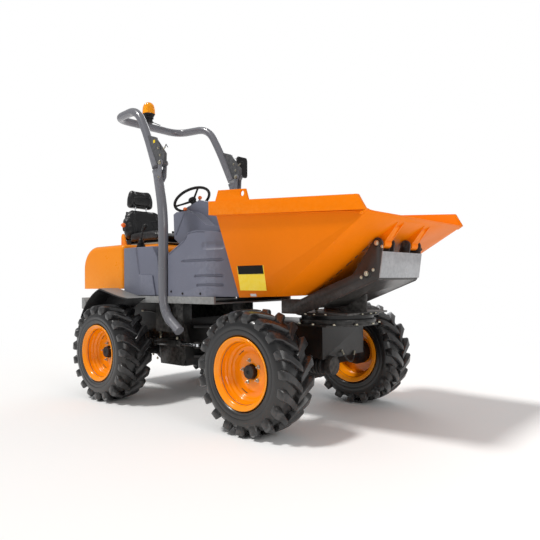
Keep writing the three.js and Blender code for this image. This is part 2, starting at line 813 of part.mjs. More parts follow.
function turntableRing() {
  const z = turntableZ + ringHeight + ringGap;
  return union(
    disc(turntableX, 0, z, z + ringHeight, turntableRadius - ringStep),
    disc(turntableX, 0, z + ringHeight - ringFlange.height, z + ringHeight,
      turntableRadius + ringFlange.reach),
  ).subtract(disc(turntableX, 0, z - 5, z + 2 * ringHeight, ringBore, 24));
}

function skipCradle() {
  const base = turntableZ + 2 * ringHeight + ringGap + seatGap;
  const side = [
    [720, base + 97], [720, base], [890, base], [1020, base + 42], [1455, base + 215],
    [1463, 930 + 10], [1486, 1090], [tipX + earRadius, tipZ],
    ...arc(tipX, tipZ, earRadius, 20, 160, 6), [1397, 1112], [1284, 962], [1114, 901],
    [883, base + 97],
  ];
  const ear = [
    [1370, 960], [1461, 945], [1480, 1080], [tipX + earRadius, tipZ],
    ...arc(tipX, tipZ, earRadius, 20, 160, 6), [1410, 1090],
  ];
  const plate = (points, y) => sidePlate(points, y - cradlePlate / 2, y + cradlePlate / 2);
  const belly = sidePlate([
    [1020, base + 42], [1455, base + 215], [1449, base + 225], [1015, base + 54],
  ], -cradleHalf, cradleHalf);
  const foot = block(720, 1240, -cradleHalf, cradleHalf, base, base + 12);
  const gussets = sidePlate([[1000, base + 6], [1230, base + 6], [1230, base + 130]],
    -6, 6);
  const shaft = bar([tipBaseX, -cradleHalf - 14, tipBaseZ],
    [tipBaseX, cradleHalf + 14, tipBaseZ], tipShaftRadius, 16);
  const pins = Object.values(sides).map((s) => bar(
    [tipX, s * (innerEarHalf - 12), tipZ], [tipX, s * (cradleHalf + 16), tipZ],
    tipPinRadius, 16));
  return union(
    [-cradleHalf, -innerEarHalf, innerEarHalf, cradleHalf].map((y, i) => plate(
      i === 0 || i === 3 ? side : ear, y)),
    belly, foot, gussets, shaft, pins,
    block(1434, 1461, -cradleHalf, cradleHalf, base + 215, base + 232));
}

function cradleFrontPlate() {
  const half = cradleHalf + cradlePlate / 2;
  return sidePlate([
    [1464, 941], [1472, 941], [1494, 1095], [1487, 1095],
  ], -half, half);
}

// Skip.

function hopper(inset, over) {
  const ramp = (skipLipZ - skipBottomZ - 9) / (skipLipX - rampFootX);
  const lift = inset > 0 ? inset * Math.hypot(1, ramp) : 0;
  const topZ = (x) => skipRimZ
    + ((skipFrontZ - skipRimZ) * (x - skipRearX)) / (skipFrontX - skipRearX);
  const wall = skipRimHalf - skipRimSheet;
  const back = skipRearX + skipRimSheet + inset;
  return hull(bothSides([
    [skipBottomRearX + inset, skipBottomHalf - inset, skipBottomZ + inset],
    [rampFootX, skipBottomHalf - inset, skipBottomZ + 9 + inset],
    [rampFootX + 40, 180, skipBottomZ + 9 + inset],
    [skipLipX - 6 + over, wall - inset - 4, skipLipZ - 6 + over * ramp + lift],
    [skipFrontX - 4 + over, wall - inset, topZ(skipFrontX) - 4 + over],
    [back - over * 0.2, wall - inset, topZ(back) + over],
    [back, wall - inset, topZ(back) - 6],
  ]));
}

function skipTub() {
  const outer = hopper(0, 0);
  const inner = hopper(skipWall, 120);
  const rim = sidePlate([
    [skipRearX, skipRimZ], [skipRearX, skipRimZ - rimHeight], [skipLipX, skipLipZ],
    [skipFrontX, skipFrontZ],
  ], -skipRimHalf, skipRimHalf);
  const hollow = sidePlate([
    [skipRearX + skipRimSheet + 2, skipRimZ + 50],
    [skipRearX + skipRimSheet + 2, skipRimZ - rimHeight - 50],
    [skipLipX + 100, skipLipZ - 50], [skipLipX + 100, skipRimZ + 50],
  ], -skipRimHalf + skipRimSheet + 2, skipRimHalf - skipRimSheet - 2);
  const lip = sidePlate([
    [skipLipX - 34, skipLipZ - 22], [skipLipX, skipLipZ], [skipLipX - 4, skipLipZ + 8],
    [skipLipX - 40, skipLipZ - 14],
  ], -skipRimHalf + 4, skipRimHalf - 4);
  const lifting = Object.values(sides).map((s) => liftingPlate(s));
  const tub = union(outer, rim.subtract(hollow), lip, lifting);
  return union(tub.subtract(inner), hingeBrackets(), rodLugs());
}

function liftingPlate(side) {
  const y = side * (skipRimHalf - 8);
  const plate = sidePlate([
    [480, skipRimZ - 30], [520, skipRimZ + 62], [764, skipRimZ + 44],
    [792, skipRimZ - 40],
  ], y - 6, y + 6);
  return plate.subtract(bar([735, y - 10, skipRimZ + 18], [735, y + 10, skipRimZ + 18],
    18, 16));
}

// Two folded brackets under the ramp turn on the cradle's tip pins.
function hingeBrackets() {
  const ramp = (skipLipZ - skipBottomZ - 9) / (skipLipX - rampFootX);
  const rampZ = (x) => skipBottomZ + 9 + (x - rampFootX) * ramp + 4;
  const profile = [
    ...arc(tipX, tipZ, hingeRadius, 170, 380, 7), [1590, rampZ(1590)], [1375, rampZ(1375)],
  ];
  const middle = (hingeY[0] + hingeY[1]) / 2;
  const half = (hingeY[1] - hingeY[0]) / 2 + 1;
  const bore = (s) => bar([tipX, s * (hingeY[0] - 15), tipZ], [tipX, s * (hingeY[1] + 20), tipZ],
    tipPinRadius + 0.9, 16);
  return Object.values(sides).map((s) => union(
    hingeY.map((y) => sidePlate(profile, s * y - hingePlateHalf, s * y + hingePlateHalf)),
    sidePlate(arc(tipX, tipZ, hingeRadius, 0, 360, 16).slice(1), s * middle - half,
      s * middle + half),
  ).subtract(bore(s)));
}

function rodLugs() {
  return [-1, 1].map((s) => sidePlate([
    [tipEyeX - 45, skipBottomZ + 11], ...arc(tipEyeX, tipEyeZ, lugRadius, 180, 360, 6),
    [tipEyeX + lugRadius, skipBottomZ + 11],
  ], s * (eyeHalf + eyeGap + 5) - 5, s * (eyeHalf + eyeGap + 5) + 5));
}

// Cylinders.

// Both cylinders are drawn along +X from their base pin, with the eye plates in the XZ plane.
function cylinderBarrel({ barrel: length, radius, rodRadius }, pinRadius) {
  const eye = bar([0, -eyeHalf, 0], [0, eyeHalf, 0], radius - 6, 16);
  const neck = block(0, barrelStart + 4, -eyeHalf, eyeHalf, 10 - radius, radius - 10);
  const body = bar([barrelStart, 0, 0], [length, 0, 0], radius, 16);
  const bore = bar([barrelStart + 2, 0, 0], [length + 10, 0, 0], rodRadius + 1, 16);
  const pinBore = bar([0, -eyeHalf - 30, 0], [0, eyeHalf + 30, 0], pinRadius + 0.9, 16);
  return union(eye, neck, body).subtract(bore).subtract(pinBore);
}

function cylinderRod({ rod: length, rodRadius }, reach) {
  const neckX = reach - barrelStart;
  return union(
    bar([reach - length, 0, 0], [neckX, 0, 0], rodRadius, 16),
    block(neckX - 4, reach, -eyeHalf, eyeHalf, 3 - rodRadius, rodRadius - 3),
    bar([reach, -eyeHalf, 0], [reach, eyeHalf, 0], rodRadius + 5, 16));
}

// Assembly.

const dumper = new THREE.Group();

for (const [end, x] of [['front', wheelbase / 2], ['rear', -wheelbase / 2]]) {
  for (const [name, side] of Object.entries(sides)) {
    dumper.add(wheelPieces(`${end}_${name}`, x, side));
  }
}

dumper.add(
  piece('rear_frame', rearFrame(), 'blackPaint'),
  piece('rear_axle', axle(-wheelbase / 2), 'castIron'),
  piece('engine_block', engineBlock(), 'castIron'),
  piece('rear_bumper', rearBumper(), 'greyPaint'),
  piece('side_tank_left', sideTank(1), 'greyPlastic'),
  piece('side_tank_right', sideTank(-1), 'greyPlastic'),
  piece('rear_mudguard_left', mudguard(1), 'blackPlastic'),
  piece('rear_mudguard_right', mudguard(-1), 'blackPlastic'),
  piece('floor_plate', floorPlate(), 'greyPaint'),
  piece('front_console', consoleBody(), 'greyPlastic'),
  piece('dashboard', dash(), 'greyPlastic'),
  piece('steering_column', steeringColumn(), 'blackPlastic'),
  piece('control_lever', controlLever(), 'blackPlastic'),
  piece('roll_bar_leg_left', rollBarLeg(1), 'greyPaint'),
  piece('roll_bar_leg_right', rollBarLeg(-1), 'greyPaint'),
  piece('roll_bar_hoop', rollBarHoop(), 'greyPaint'),
  piece('beacon_base', beaconBase(), 'blackPlastic'),
  piece('beacon_lens', beaconLens(), 'amberLens'),
  piece('mirror', mirror(), 'blackPlastic'),
  piece('engine_hood', engineHood(), 'orangePaint'),
  piece('seat_base', seatBase(), 'blackPlastic'),
  piece('seat_cushion', seatCushion(), 'blackLeather'),
  piece('seat_back', seatBack(), 'blackLeather'),
  piece('headrest', headrest(), 'blackLeather'),
  piece('pivot_block', pivotBlock(), 'castIron'),
  piece('front_frame', frontFrame(), 'blackPaint'),
  piece('front_axle', axle(wheelbase / 2), 'castIron'),
  piece('turntable_base', turntableBase(), 'blackPaint'),
  piece('turntable_ring', turntableRing(), 'darkPaint'),
  piece('skip_cradle', skipCradle(), 'darkPaint'),
  piece('cradle_front_plate', cradleFrontPlate(), 'lightPaint'),
  piece('skip_tub', skipTub(), 'orangePaint'),
);

const wheel = piece('steering_wheel', steeringWheel(), 'blackPlastic');
wheel.position.set(...steeringCentre);
wheel.rotation.y = -wheelTilt;
dumper.add(wheel);

function cylinderPieces(name, size, pinRadius, reach) {
  const group = new THREE.Group();
  group.add(
    piece(`${name}_barrel`, cylinderBarrel(size, pinRadius), 'blackPaint'),
    piece(`${name}_rod`, cylinderRod(size, reach), 'steel'),
  );
  return group;
}

const tipReach = Math.hypot(tipBaseX - tipEyeX, tipBaseZ - tipEyeZ);
const tipPair = cylinderPieces('tip_cylinder', tipCylinder, tipShaftRadius, tipReach);
tipPair.position.set(tipBaseX, 0, tipBaseZ);
tipPair.rotation.y = -Math.atan2(tipEyeZ - tipBaseZ, tipEyeX - tipBaseX);
dumper.add(tipPair);

const steeringPair = cylinderPieces(
  'steering_cylinder', steeringCylinder, steeringCylinder.pin, steerEyeX - steerBaseX);
steeringPair.position.set(steerBaseX, steerY, pivotZ);
steeringPair.rotation.x = Math.PI / 2;
dumper.add(steeringPair);

// x = 0 midway between the rear bumper's face and the skip's lip
dumper.position.x = -(bumperX + skipLipX) / 2;

export default dumper;
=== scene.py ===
# The looks of an articulated site dumper: finishes, tyres, padding, mouldings and small fittings.
# Metres, +X forward, +Y to the driver's left, +Z up.
import json
import math

import bmesh
import bpy
from mathutils import Matrix, Vector


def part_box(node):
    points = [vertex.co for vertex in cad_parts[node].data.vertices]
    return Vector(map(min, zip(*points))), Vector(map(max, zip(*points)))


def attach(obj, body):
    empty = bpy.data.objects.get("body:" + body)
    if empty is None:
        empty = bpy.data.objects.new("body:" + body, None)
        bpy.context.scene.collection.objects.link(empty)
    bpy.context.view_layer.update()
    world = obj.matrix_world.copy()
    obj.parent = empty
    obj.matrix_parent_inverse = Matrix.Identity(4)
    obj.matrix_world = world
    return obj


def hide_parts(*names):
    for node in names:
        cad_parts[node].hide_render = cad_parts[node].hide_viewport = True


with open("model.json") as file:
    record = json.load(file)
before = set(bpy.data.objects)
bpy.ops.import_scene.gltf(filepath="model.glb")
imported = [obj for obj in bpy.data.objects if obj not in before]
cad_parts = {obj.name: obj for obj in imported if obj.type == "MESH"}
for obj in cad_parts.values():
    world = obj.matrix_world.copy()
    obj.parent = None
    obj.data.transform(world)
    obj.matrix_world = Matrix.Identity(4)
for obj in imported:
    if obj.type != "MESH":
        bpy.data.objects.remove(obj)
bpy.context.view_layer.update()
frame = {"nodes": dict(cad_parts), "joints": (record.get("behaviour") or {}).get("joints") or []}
print("frame loaded")

nodes = frame["nodes"]
joints = {joint["name"]: joint for joint in frame["joints"]}


def jointAt(name):
    return Vector(joints[name]["pos_m"])


frontHub = jointAt("wheel_front_right_spin")
rearHub = jointAt("wheel_rear_right_spin")
midAxle = (frontHub.x + rearHub.x) / 2
sides = {"left": 1, "right": -1}


# Places are given from the point midway between the axles.
def at(x, y, z):
    return Vector((x + midAxle, y, z))


# Camera, floor and lights.

view = {
    "place": (3.0706, -3.0064, 0.927), "yaw": 41.587, "pitch": 1.226, "roll": -0.677,
    "lens": 36.02, "floorSize": 60.0, "around": 0.42, "fadeFrom": 2.2, "fadeTo": 6.0,
    "sun": 2.0, "sunWidth": 9.0, "sunFrom": (-0.40, -0.62, 1.25),
}


def makeCamera():
    yaw, pitch, roll = (math.radians(view[key]) for key in ("yaw", "pitch", "roll"))
    ahead = Vector((-math.sin(yaw) * math.cos(pitch), math.cos(yaw) * math.cos(pitch),
                    math.sin(pitch)))
    right = ahead.cross(Vector((0, 0, 1))).normalized()
    up = right.cross(ahead)
    rolledRight = math.cos(roll) * right + math.sin(roll) * up
    rolledUp = -math.sin(roll) * right + math.cos(roll) * up
    data = bpy.data.cameras.new("camera")
    data.lens = view["lens"]
    data.sensor_width = 36
    data.clip_end = 200
    camera = bpy.data.objects.new("camera", data)
    turn = Matrix((rolledRight, rolledUp, -ahead)).transposed().to_4x4()
    camera.matrix_world = Matrix.Translation(at(*view["place"])) @ turn
    bpy.context.scene.collection.objects.link(camera)
    bpy.context.scene.camera = camera


def makeLight(name, place, target, size, power, tint):
    data = bpy.data.lights.new(name, "AREA")
    data.size = size
    data.energy = power
    data.color = tint
    light = bpy.data.objects.new(name, data)
    light.location = place
    light.rotation_euler = (Vector(target) - Vector(place)).to_track_quat("-Z", "Y").to_euler()
    bpy.context.scene.collection.objects.link(light)


def makeStage():
    mesh = bpy.data.meshes.new("floor")
    half = view["floorSize"] / 2
    mesh.from_pydata([(-half, -half, 0), (half, -half, 0), (half, half, 0), (-half, half, 0)],
                     [], [(0, 1, 2, 3)])
    floor = bpy.data.objects.new("floor", mesh)
    bpy.context.scene.collection.objects.link(floor)
    material = bpy.data.materials.new("paleFloor")
    material.use_nodes = True
    shader = material.node_tree.nodes["Principled BSDF"]
    shader.inputs["Base Color"].default_value = (0.98, 0.98, 0.98, 1)
    shader.inputs["Roughness"].default_value = 0.75
    nodes, links = material.node_tree.nodes, material.node_tree.links
    place = nodes.new("ShaderNodeNewGeometry")
    away = nodes.new("ShaderNodeVectorMath")
    away.operation = "LENGTH"
    links.new(place.outputs["Position"], away.inputs[0])
    fade = nodes.new("ShaderNodeMapRange")
    fade.interpolation_type = "SMOOTHSTEP"
    fade.inputs["From Min"].default_value = view["fadeFrom"]
    fade.inputs["From Max"].default_value = view["fadeTo"]
    links.new(away.outputs["Value"], fade.inputs["Value"])
    glow = nodes.new("ShaderNodeEmission")
    glow.inputs["Color"].default_value = (1, 1, 1, 1)
    blend = nodes.new("ShaderNodeMixShader")
    links.new(fade.outputs["Result"], blend.inputs[0])
    links.new(shader.outputs["BSDF"], blend.inputs[1])
    links.new(glow.outputs["Emission"], blend.inputs[2])
    links.new(blend.outputs["Shader"], nodes["Material Output"].inputs["Surface"])
    mesh.materials.append(material)
    world = bpy.data.worlds.new("studio")
    world.use_nodes = True
    tree = world.node_tree
    background = tree.nodes["Background"]
    background.inputs["Color"].default_value = (1.0, 1.0, 1.0, 1)
    seen = tree.nodes.new("ShaderNodeLightPath")
    strength = tree.nodes.new("ShaderNodeMapRange")
    strength.inputs["To Min"].default_value = view["around"]
    strength.inputs["To Max"].default_value = 1.0
    tree.links.new(seen.outputs["Is Camera Ray"], strength.inputs["Value"])
    tree.links.new(strength.outputs["Result"], background.inputs["Strength"])
    bpy.context.scene.world = world
    sun = bpy.data.lights.new("sun", "SUN")
    sun.energy = view["sun"]
    sun.angle = math.radians(view["sunWidth"])
    sun.color = (1.0, 0.985, 0.96)
    high = bpy.data.objects.new("sun", sun)
    high.rotation_euler = Vector(view["sunFrom"]).to_track_quat("Z", "Y").to_euler()
    bpy.context.scene.collection.objects.link(high)
    makeLight("frontLight", (5.6, -1.6, 2.6), (0.6, 0, 0.9), 2.4, 60, (1.0, 0.99, 0.97))
    makeLight("backLight", (-3.2, 4.2, 4.0), (0, 0, 1.2), 3.0, 60, (0.97, 0.985, 1.0))
    bpy.context.scene.view_settings.view_transform = "Standard"


makeCamera()
makeStage()
print("camera, floor and lights ready")


# Shader groups.


# A colour from the 0 to 255 values that a paint chart gives.
def tone(red, green, blue):
    def linear(value):
        value /= 255
        return value / 12.92 if value <= 0.04045 else ((value + 0.055) / 1.055) ** 2.4
    return (linear(red), linear(green), linear(blue), 1)


def newGroup(name, inputs, outputs):
    group = bpy.data.node_groups.new(name, "ShaderNodeTree")
    for label, kind, value in inputs:
        socket = group.interface.new_socket(label, in_out="INPUT", socket_type="NodeSocket" + kind)
        socket.default_value = value
    for label, kind in outputs:
        group.interface.new_socket(label, in_out="OUTPUT", socket_type="NodeSocket" + kind)
    entry = group.nodes.new("NodeGroupInput")
    leave = group.nodes.new("NodeGroupOutput")
    return group, entry.outputs, leave.inputs


def addNode(tree, kind, inputs=None, **settings):
    node = tree.nodes.new("ShaderNode" + kind)
    for key, value in settings.items():
        setattr(node, key, value)
    for key, value in (inputs or {}).items():
        if isinstance(value, bpy.types.NodeSocket):
            tree.links.new(value, node.inputs[key])
        else:
            node.inputs[key].default_value = value
    return node


def calc(tree, operation, first, second=0.0):
    return addNode(tree, "Math", {0: first, 1: second}, operation=operation).outputs[0]


def spread(tree, value, low, high, outLow=0.0, outHigh=1.0):
    node = addNode(tree, "MapRange", {0: value, 1: low, 2: high, 3: outLow, 4: outHigh})
    return node.outputs[0]


def mixed(tree, share, first, second, blend="MIX"):
    node = addNode(tree, "Mix", data_type="RGBA", blend_type=blend)
    for key, value in ((0, share), (6, first), (7, second)):
        if isinstance(value, bpy.types.NodeSocket):
            tree.links.new(value, node.inputs[key])
        else:
            node.inputs[key].default_value = value
    return node.outputs[2]


def noise(tree, scale, detail=3.0, rough=0.5, vector=None):
    place = vector or addNode(tree, "NewGeometry").outputs["Position"]
    node = addNode(tree, "TexNoise", {"Vector": place, "Scale": scale, "Detail": detail,
                                      "Roughness": rough})
    return node.outputs["Fac"]


# Broad, faint changes of shade, with gloss that goes with them.
def makeMottle():
    group, given, out = newGroup("mottle", [
        ("Colour", "Color", (1, 1, 1, 1)), ("Shade", "Float", 0.1), ("Scale", "Float", 4.0),
        ("Roughness", "Float", 0.4), ("Gloss Change", "Float", 0.05),
    ], [("Colour", "Color"), ("Roughness", "Float")])
    broad = noise(group, given["Scale"], 4)
    fine = noise(group, calc(group, "MULTIPLY", given["Scale"], 9.0), 2)
    both = calc(group, "ADD", calc(group, "MULTIPLY", broad, 0.7),
                calc(group, "MULTIPLY", fine, 0.3))
    dark = mixed(group, 1.0, given["Colour"], (0.62, 0.6, 0.58, 1), "MULTIPLY")
    strength = calc(group, "MULTIPLY", spread(group, both, 0.35, 0.65), given["Shade"])
    group.links.new(mixed(group, strength, given["Colour"], dark), out["Colour"])
    change = calc(group, "MULTIPLY", spread(group, both, 0.3, 0.7, -1, 1), given["Gloss Change"])
    group.links.new(calc(group, "ADD", given["Roughness"], change), out["Roughness"])
    return group


# Dry dust that settles low down and on faces turned up.
def makeDust():
    group, given, out = newGroup("dust", [
        ("Colour", "Color", (1, 1, 1, 1)), ("Roughness", "Float", 0.5),
        ("Dust Colour", "Color", tone(128, 116, 100)), ("Amount", "Float", 0.2),
        ("Reach", "Float", 0.6),
    ], [("Colour", "Color"), ("Roughness", "Float"), ("Mask", "Float")])
    geometry = addNode(group, "NewGeometry")
    place = addNode(group, "SeparateXYZ", {0: geometry.outputs["Position"]}).outputs["Z"]
    facing = addNode(group, "SeparateXYZ", {0: geometry.outputs["Normal"]}).outputs["Z"]
    low = calc(group, "SUBTRACT", 1.0, calc(group, "DIVIDE", place, given["Reach"]))
    lie = calc(group, "ADD", spread(group, low, 0, 1), spread(group, facing, 0.2, 1, 0, 0.35))
    patch = spread(group, noise(group, 7.0, 6, 0.65), 0.38, 0.7)
    mask = calc(group, "MULTIPLY", calc(group, "MULTIPLY", lie, patch), given["Amount"])
    mask = spread(group, mask, 0, 1)
    group.links.new(mixed(group, mask, given["Colour"], given["Dust Colour"]), out["Colour"])
    rough = calc(group, "ADD", given["Roughness"], calc(group, "MULTIPLY", mask, 0.5))
    group.links.new(spread(group, rough, 0, 1), out["Roughness"])
    group.links.new(mask, out["Mask"])
    return group


# Fine relief: sprayed paint, moulded grain or cast skin, by its scale and its two weights.
def makeRelief():
    group, given, out = newGroup("relief", [
        ("Scale", "Float", 300.0), ("Pebble", "Float", 0.5), ("Wave", "Float", 0.5),
    ], [("Height", "Float")])
    place = addNode(group, "NewGeometry").outputs["Position"]
    cell = addNode(group, "TexVoronoi", {"Vector": place, "Scale": given["Scale"]},
                   feature="SMOOTH_F1")
    soft = noise(group, calc(group, "MULTIPLY", given["Scale"], 0.35), 2)
    height = calc(group, "ADD", calc(group, "MULTIPLY", cell.outputs["Distance"], given["Pebble"]),
                  calc(group, "MULTIPLY", soft, given["Wave"]))
    group.links.new(height, out["Height"])
    return group


# Where corners are rubbed, with a painted edge highlight: the edge colour is lighter than the base,
# more on sharp outer edges, broken up by noise.
def makeRubAndEdgeLight():
    group, given, out = newGroup("rubAndEdgeLight", [
        ("Colour", "Color", (1, 1, 1, 1)), ("Bare Colour", "Color", (0.5, 0.5, 0.5, 1)),
        ("Amount", "Float", 0.3),
    ], [("Colour", "Color"), ("Mask", "Float")])
    edge = addNode(group, "NewGeometry").outputs["Pointiness"]
    sharp = spread(group, edge, 0.52, 0.6)
    broken = spread(group, noise(group, 38.0, 4, 0.6), 0.35, 0.65)
    mask = calc(group, "MULTIPLY", calc(group, "MULTIPLY", sharp, broken), given["Amount"])
    group.links.new(mixed(group, mask, given["Colour"], given["Bare Colour"]), out["Colour"])
    group.links.new(mask, out["Mask"])
    return group


mottle = makeMottle()
dust = makeDust()
relief = makeRelief()
rubAndEdgeLight = makeRubAndEdgeLight()


def useGroup(tree, group, **inputs):
    node = tree.nodes.new("ShaderNodeGroup")
    node.node_tree = group
    for key, value in inputs.items():
        socket = node.inputs[key.replace("_", " ")]
        if isinstance(value, bpy.types.NodeSocket):
            tree.links.new(value, socket)
        else:
            socket.default_value = value
    return node.outputs


# Finishes.

# Each finish's lighter edge colour is partly wear on rubbed corners and partly a painted edge
# highlight.
finishes = {
    "skipPaint": {"colour": tone(246, 126, 0), "rough": 0.40, "coat": 0.0, "coatRough": 0.12,
                  "glint": 0.08, "shade": 0.10, "dust": 0.01, "reach": 0.9,
                  "bare": tone(255, 165, 70),
                  "rubAndEdgeLight": 0.25, "grain": 420.0, "pebble": 0.1, "wave": 0.5, "bump": 0.05},
    "hoodPaint": {"colour": tone(252, 144, 0), "rough": 0.3, "coat": 0.10, "coatRough": 0.08,
                  "glint": 0.25, "shade": 0.06, "dust": 0.01, "reach": 0.9,
                  "bare": tone(255, 190, 90),
                  "rubAndEdgeLight": 0.25, "grain": 500.0, "pebble": 0.1, "wave": 0.4, "bump": 0.04},
    "rimPaint": {"colour": tone(255, 150, 0), "rough": 0.2, "coat": 0.3, "coatRough": 0.05,
                 "glint": 0.3, "shade": 0.08, "dust": 0.015, "reach": 0.5,
                 "bare": tone(255, 190, 90),
                 "rubAndEdgeLight": 0.3, "grain": 600.0, "pebble": 0.1, "wave": 0.5, "bump": 0.05},
    "greyMoulding": {"colour": tone(112, 115, 131), "rough": 0.42, "coat": 0.0, "coatRough": 0.3,
                     "shade": 0.14, "dust": 0.08, "reach": 1.3, "bare": tone(165, 168, 180),
                     "rubAndEdgeLight": 0.35, "grain": 520.0, "pebble": 1.0, "wave": 0.5, "bump": 0.22},
    "rollBarPaint": {"colour": tone(112, 113, 120), "rough": 0.24, "coat": 0.5,
                     "coatRough": 0.08, "shade": 0.12, "dust": 0.1, "reach": 1.0,
                     "bare": tone(190, 190, 195), "rubAndEdgeLight": 0.3, "grain": 450.0, "pebble": 0.2,
                     "wave": 0.6, "bump": 0.06},
    "hingePaint": {"colour": tone(70, 71, 74), "rough": 0.38, "coat": 0.2, "coatRough": 0.2,
                   "shade": 0.2, "dust": 0.08, "reach": 1.0, "bare": tone(150, 150, 152),
                   "rubAndEdgeLight": 0.5, "grain": 400.0, "pebble": 0.3, "wave": 0.6, "bump": 0.1},
    "sillPaint": {"colour": tone(132, 134, 134), "rough": 0.45, "coat": 0.1, "coatRough": 0.2,
                  "shade": 0.25, "dust": 0.4, "reach": 1.2, "bare": tone(190, 190, 190),
                  "rubAndEdgeLight": 0.5, "grain": 300.0, "pebble": 0.3, "wave": 0.6, "bump": 0.1},
    "cradlePaint": {"colour": tone(52, 49, 48), "rough": 0.40, "coat": 0.15, "coatRough": 0.2,
                    "glint": 0.35, "shade": 0.25, "dust": 0.06, "reach": 1.1,
                    "bare": tone(130, 128, 125),
                    "rubAndEdgeLight": 0.5, "grain": 320.0, "pebble": 0.3, "wave": 0.7, "bump": 0.12},
    "platePaint": {"colour": tone(150, 152, 156), "rough": 0.3, "coat": 0.2, "coatRough": 0.15,
                   "shade": 0.2, "dust": 0.15, "reach": 1.2, "bare": tone(210, 210, 212),
                   "rubAndEdgeLight": 0.4, "grain": 320.0, "pebble": 0.2, "wave": 0.7, "bump": 0.08},
    "chassisPaint": {"colour": tone(17, 17, 18), "rough": 0.38, "coat": 0.2, "coatRough": 0.2,
                     "glint": 0.3, "shade": 0.3, "dust": 0.07, "reach": 0.9,
                     "bare": tone(110, 108, 105),
                     "rubAndEdgeLight": 0.5, "grain": 300.0, "pebble": 0.3, "wave": 0.7, "bump": 0.14},
    "blackMoulding": {"colour": tone(20, 20, 22), "rough": 0.42, "coat": 0.0, "coatRough": 0.3,
                      "glint": 0.3, "shade": 0.2, "dust": 0.06, "reach": 1.0,
                      "bare": tone(90, 90, 92),
                      "rubAndEdgeLight": 0.4, "grain": 600.0, "pebble": 0.9, "wave": 0.4, "bump": 0.18},
    "tyreRubber": {"colour": tone(18, 18, 20), "rough": 0.30, "coat": 0.3, "coatRough": 0.2,
                   "shade": 0.35, "dust": 0.10, "reach": 0.55, "bare": tone(96, 96, 98),
                   "rubAndEdgeLight": 0.35, "grain": 260.0, "pebble": 0.4, "wave": 0.9, "bump": 0.2},
    "hoseRubber": {"colour": tone(20, 20, 21), "rough": 0.5, "coat": 0.1, "coatRough": 0.3,
                   "shade": 0.2, "dust": 0.2, "reach": 0.9, "bare": tone(70, 70, 70),
                   "rubAndEdgeLight": 0.2, "grain": 500.0, "pebble": 0.6, "wave": 0.5, "bump": 0.12},
    "castIron": {"colour": tone(24, 24, 26), "rough": 0.55, "coat": 0.05, "coatRough": 0.3,
                 "glint": 0.3, "shade": 0.35, "dust": 0.10, "reach": 0.8,
                 "bare": tone(120, 112, 104),
                 "rubAndEdgeLight": 0.4, "grain": 220.0, "pebble": 0.8, "wave": 0.9, "bump": 0.35},
    "seatVinyl": {"colour": tone(17, 18, 23), "rough": 0.33, "coat": 0.2, "coatRough": 0.2,
                  "glint": 0.4, "shade": 0.2, "dust": 0.08, "reach": 2.0, "bare": tone(74, 75, 80),
                  "rubAndEdgeLight": 0.25, "grain": 420.0, "pebble": 1.2, "wave": 0.5, "bump": 0.3},
    "zinc": {"colour": tone(196, 190, 170), "rough": 0.3, "metal": 1.0, "coat": 0.0,
             "coatRough": 0.3, "shade": 0.3, "dust": 0.15, "reach": 1.0,
             "bare": tone(235, 232, 220), "rubAndEdgeLight": 0.4, "grain": 500.0, "pebble": 0.3,
             "wave": 0.6, "bump": 0.08},
    "rodChrome": {"colour": tone(205, 208, 212), "rough": 0.12, "metal": 1.0, "coat": 0.0,
                  "coatRough": 0.3, "shade": 0.08, "dust": 0.05, "reach": 1.0,
                  "bare": tone(240, 240, 240), "rubAndEdgeLight": 0.1, "grain": 700.0, "pebble": 0.1,
                  "wave": 0.3, "bump": 0.02},
    "signYellow": {"colour": tone(250, 214, 20), "rough": 0.4, "coat": 0.3, "coatRough": 0.1,
                   "glint": 0.25, "shade": 0.08, "dust": 0.1, "reach": 1.2,
                   "bare": tone(255, 235, 120),
                   "rubAndEdgeLight": 0.3, "grain": 500.0, "pebble": 0.1, "wave": 0.3, "bump": 0.03},
    "signBlack": {"colour": tone(7, 7, 7), "rough": 0.45, "coat": 0.0, "coatRough": 0.1,
                  "glint": 0.15, "shade": 0.1, "dust": 0.02, "reach": 1.2, "bare": tone(30, 30, 28),
                  "rubAndEdgeLight": 0.3, "grain": 500.0, "pebble": 0.1, "wave": 0.3, "bump": 0.03},
    "signGrey": {"colour": tone(196, 198, 200), "rough": 0.35, "coat": 0.2, "coatRough": 0.1,
                 "shade": 0.1, "dust": 0.1, "reach": 1.2, "bare": tone(230, 230, 230),
                 "rubAndEdgeLight": 0.3, "grain": 500.0, "pebble": 0.1, "wave": 0.3, "bump": 0.03},
    "knobOrange": {"colour": tone(248, 112, 14), "rough": 0.35, "coat": 0.3, "coatRough": 0.1,
                   "shade": 0.08, "dust": 0.06, "reach": 2.0, "bare": tone(255, 170, 90),
                   "rubAndEdgeLight": 0.3, "grain": 600.0, "pebble": 0.5, "wave": 0.4, "bump": 0.08},
}


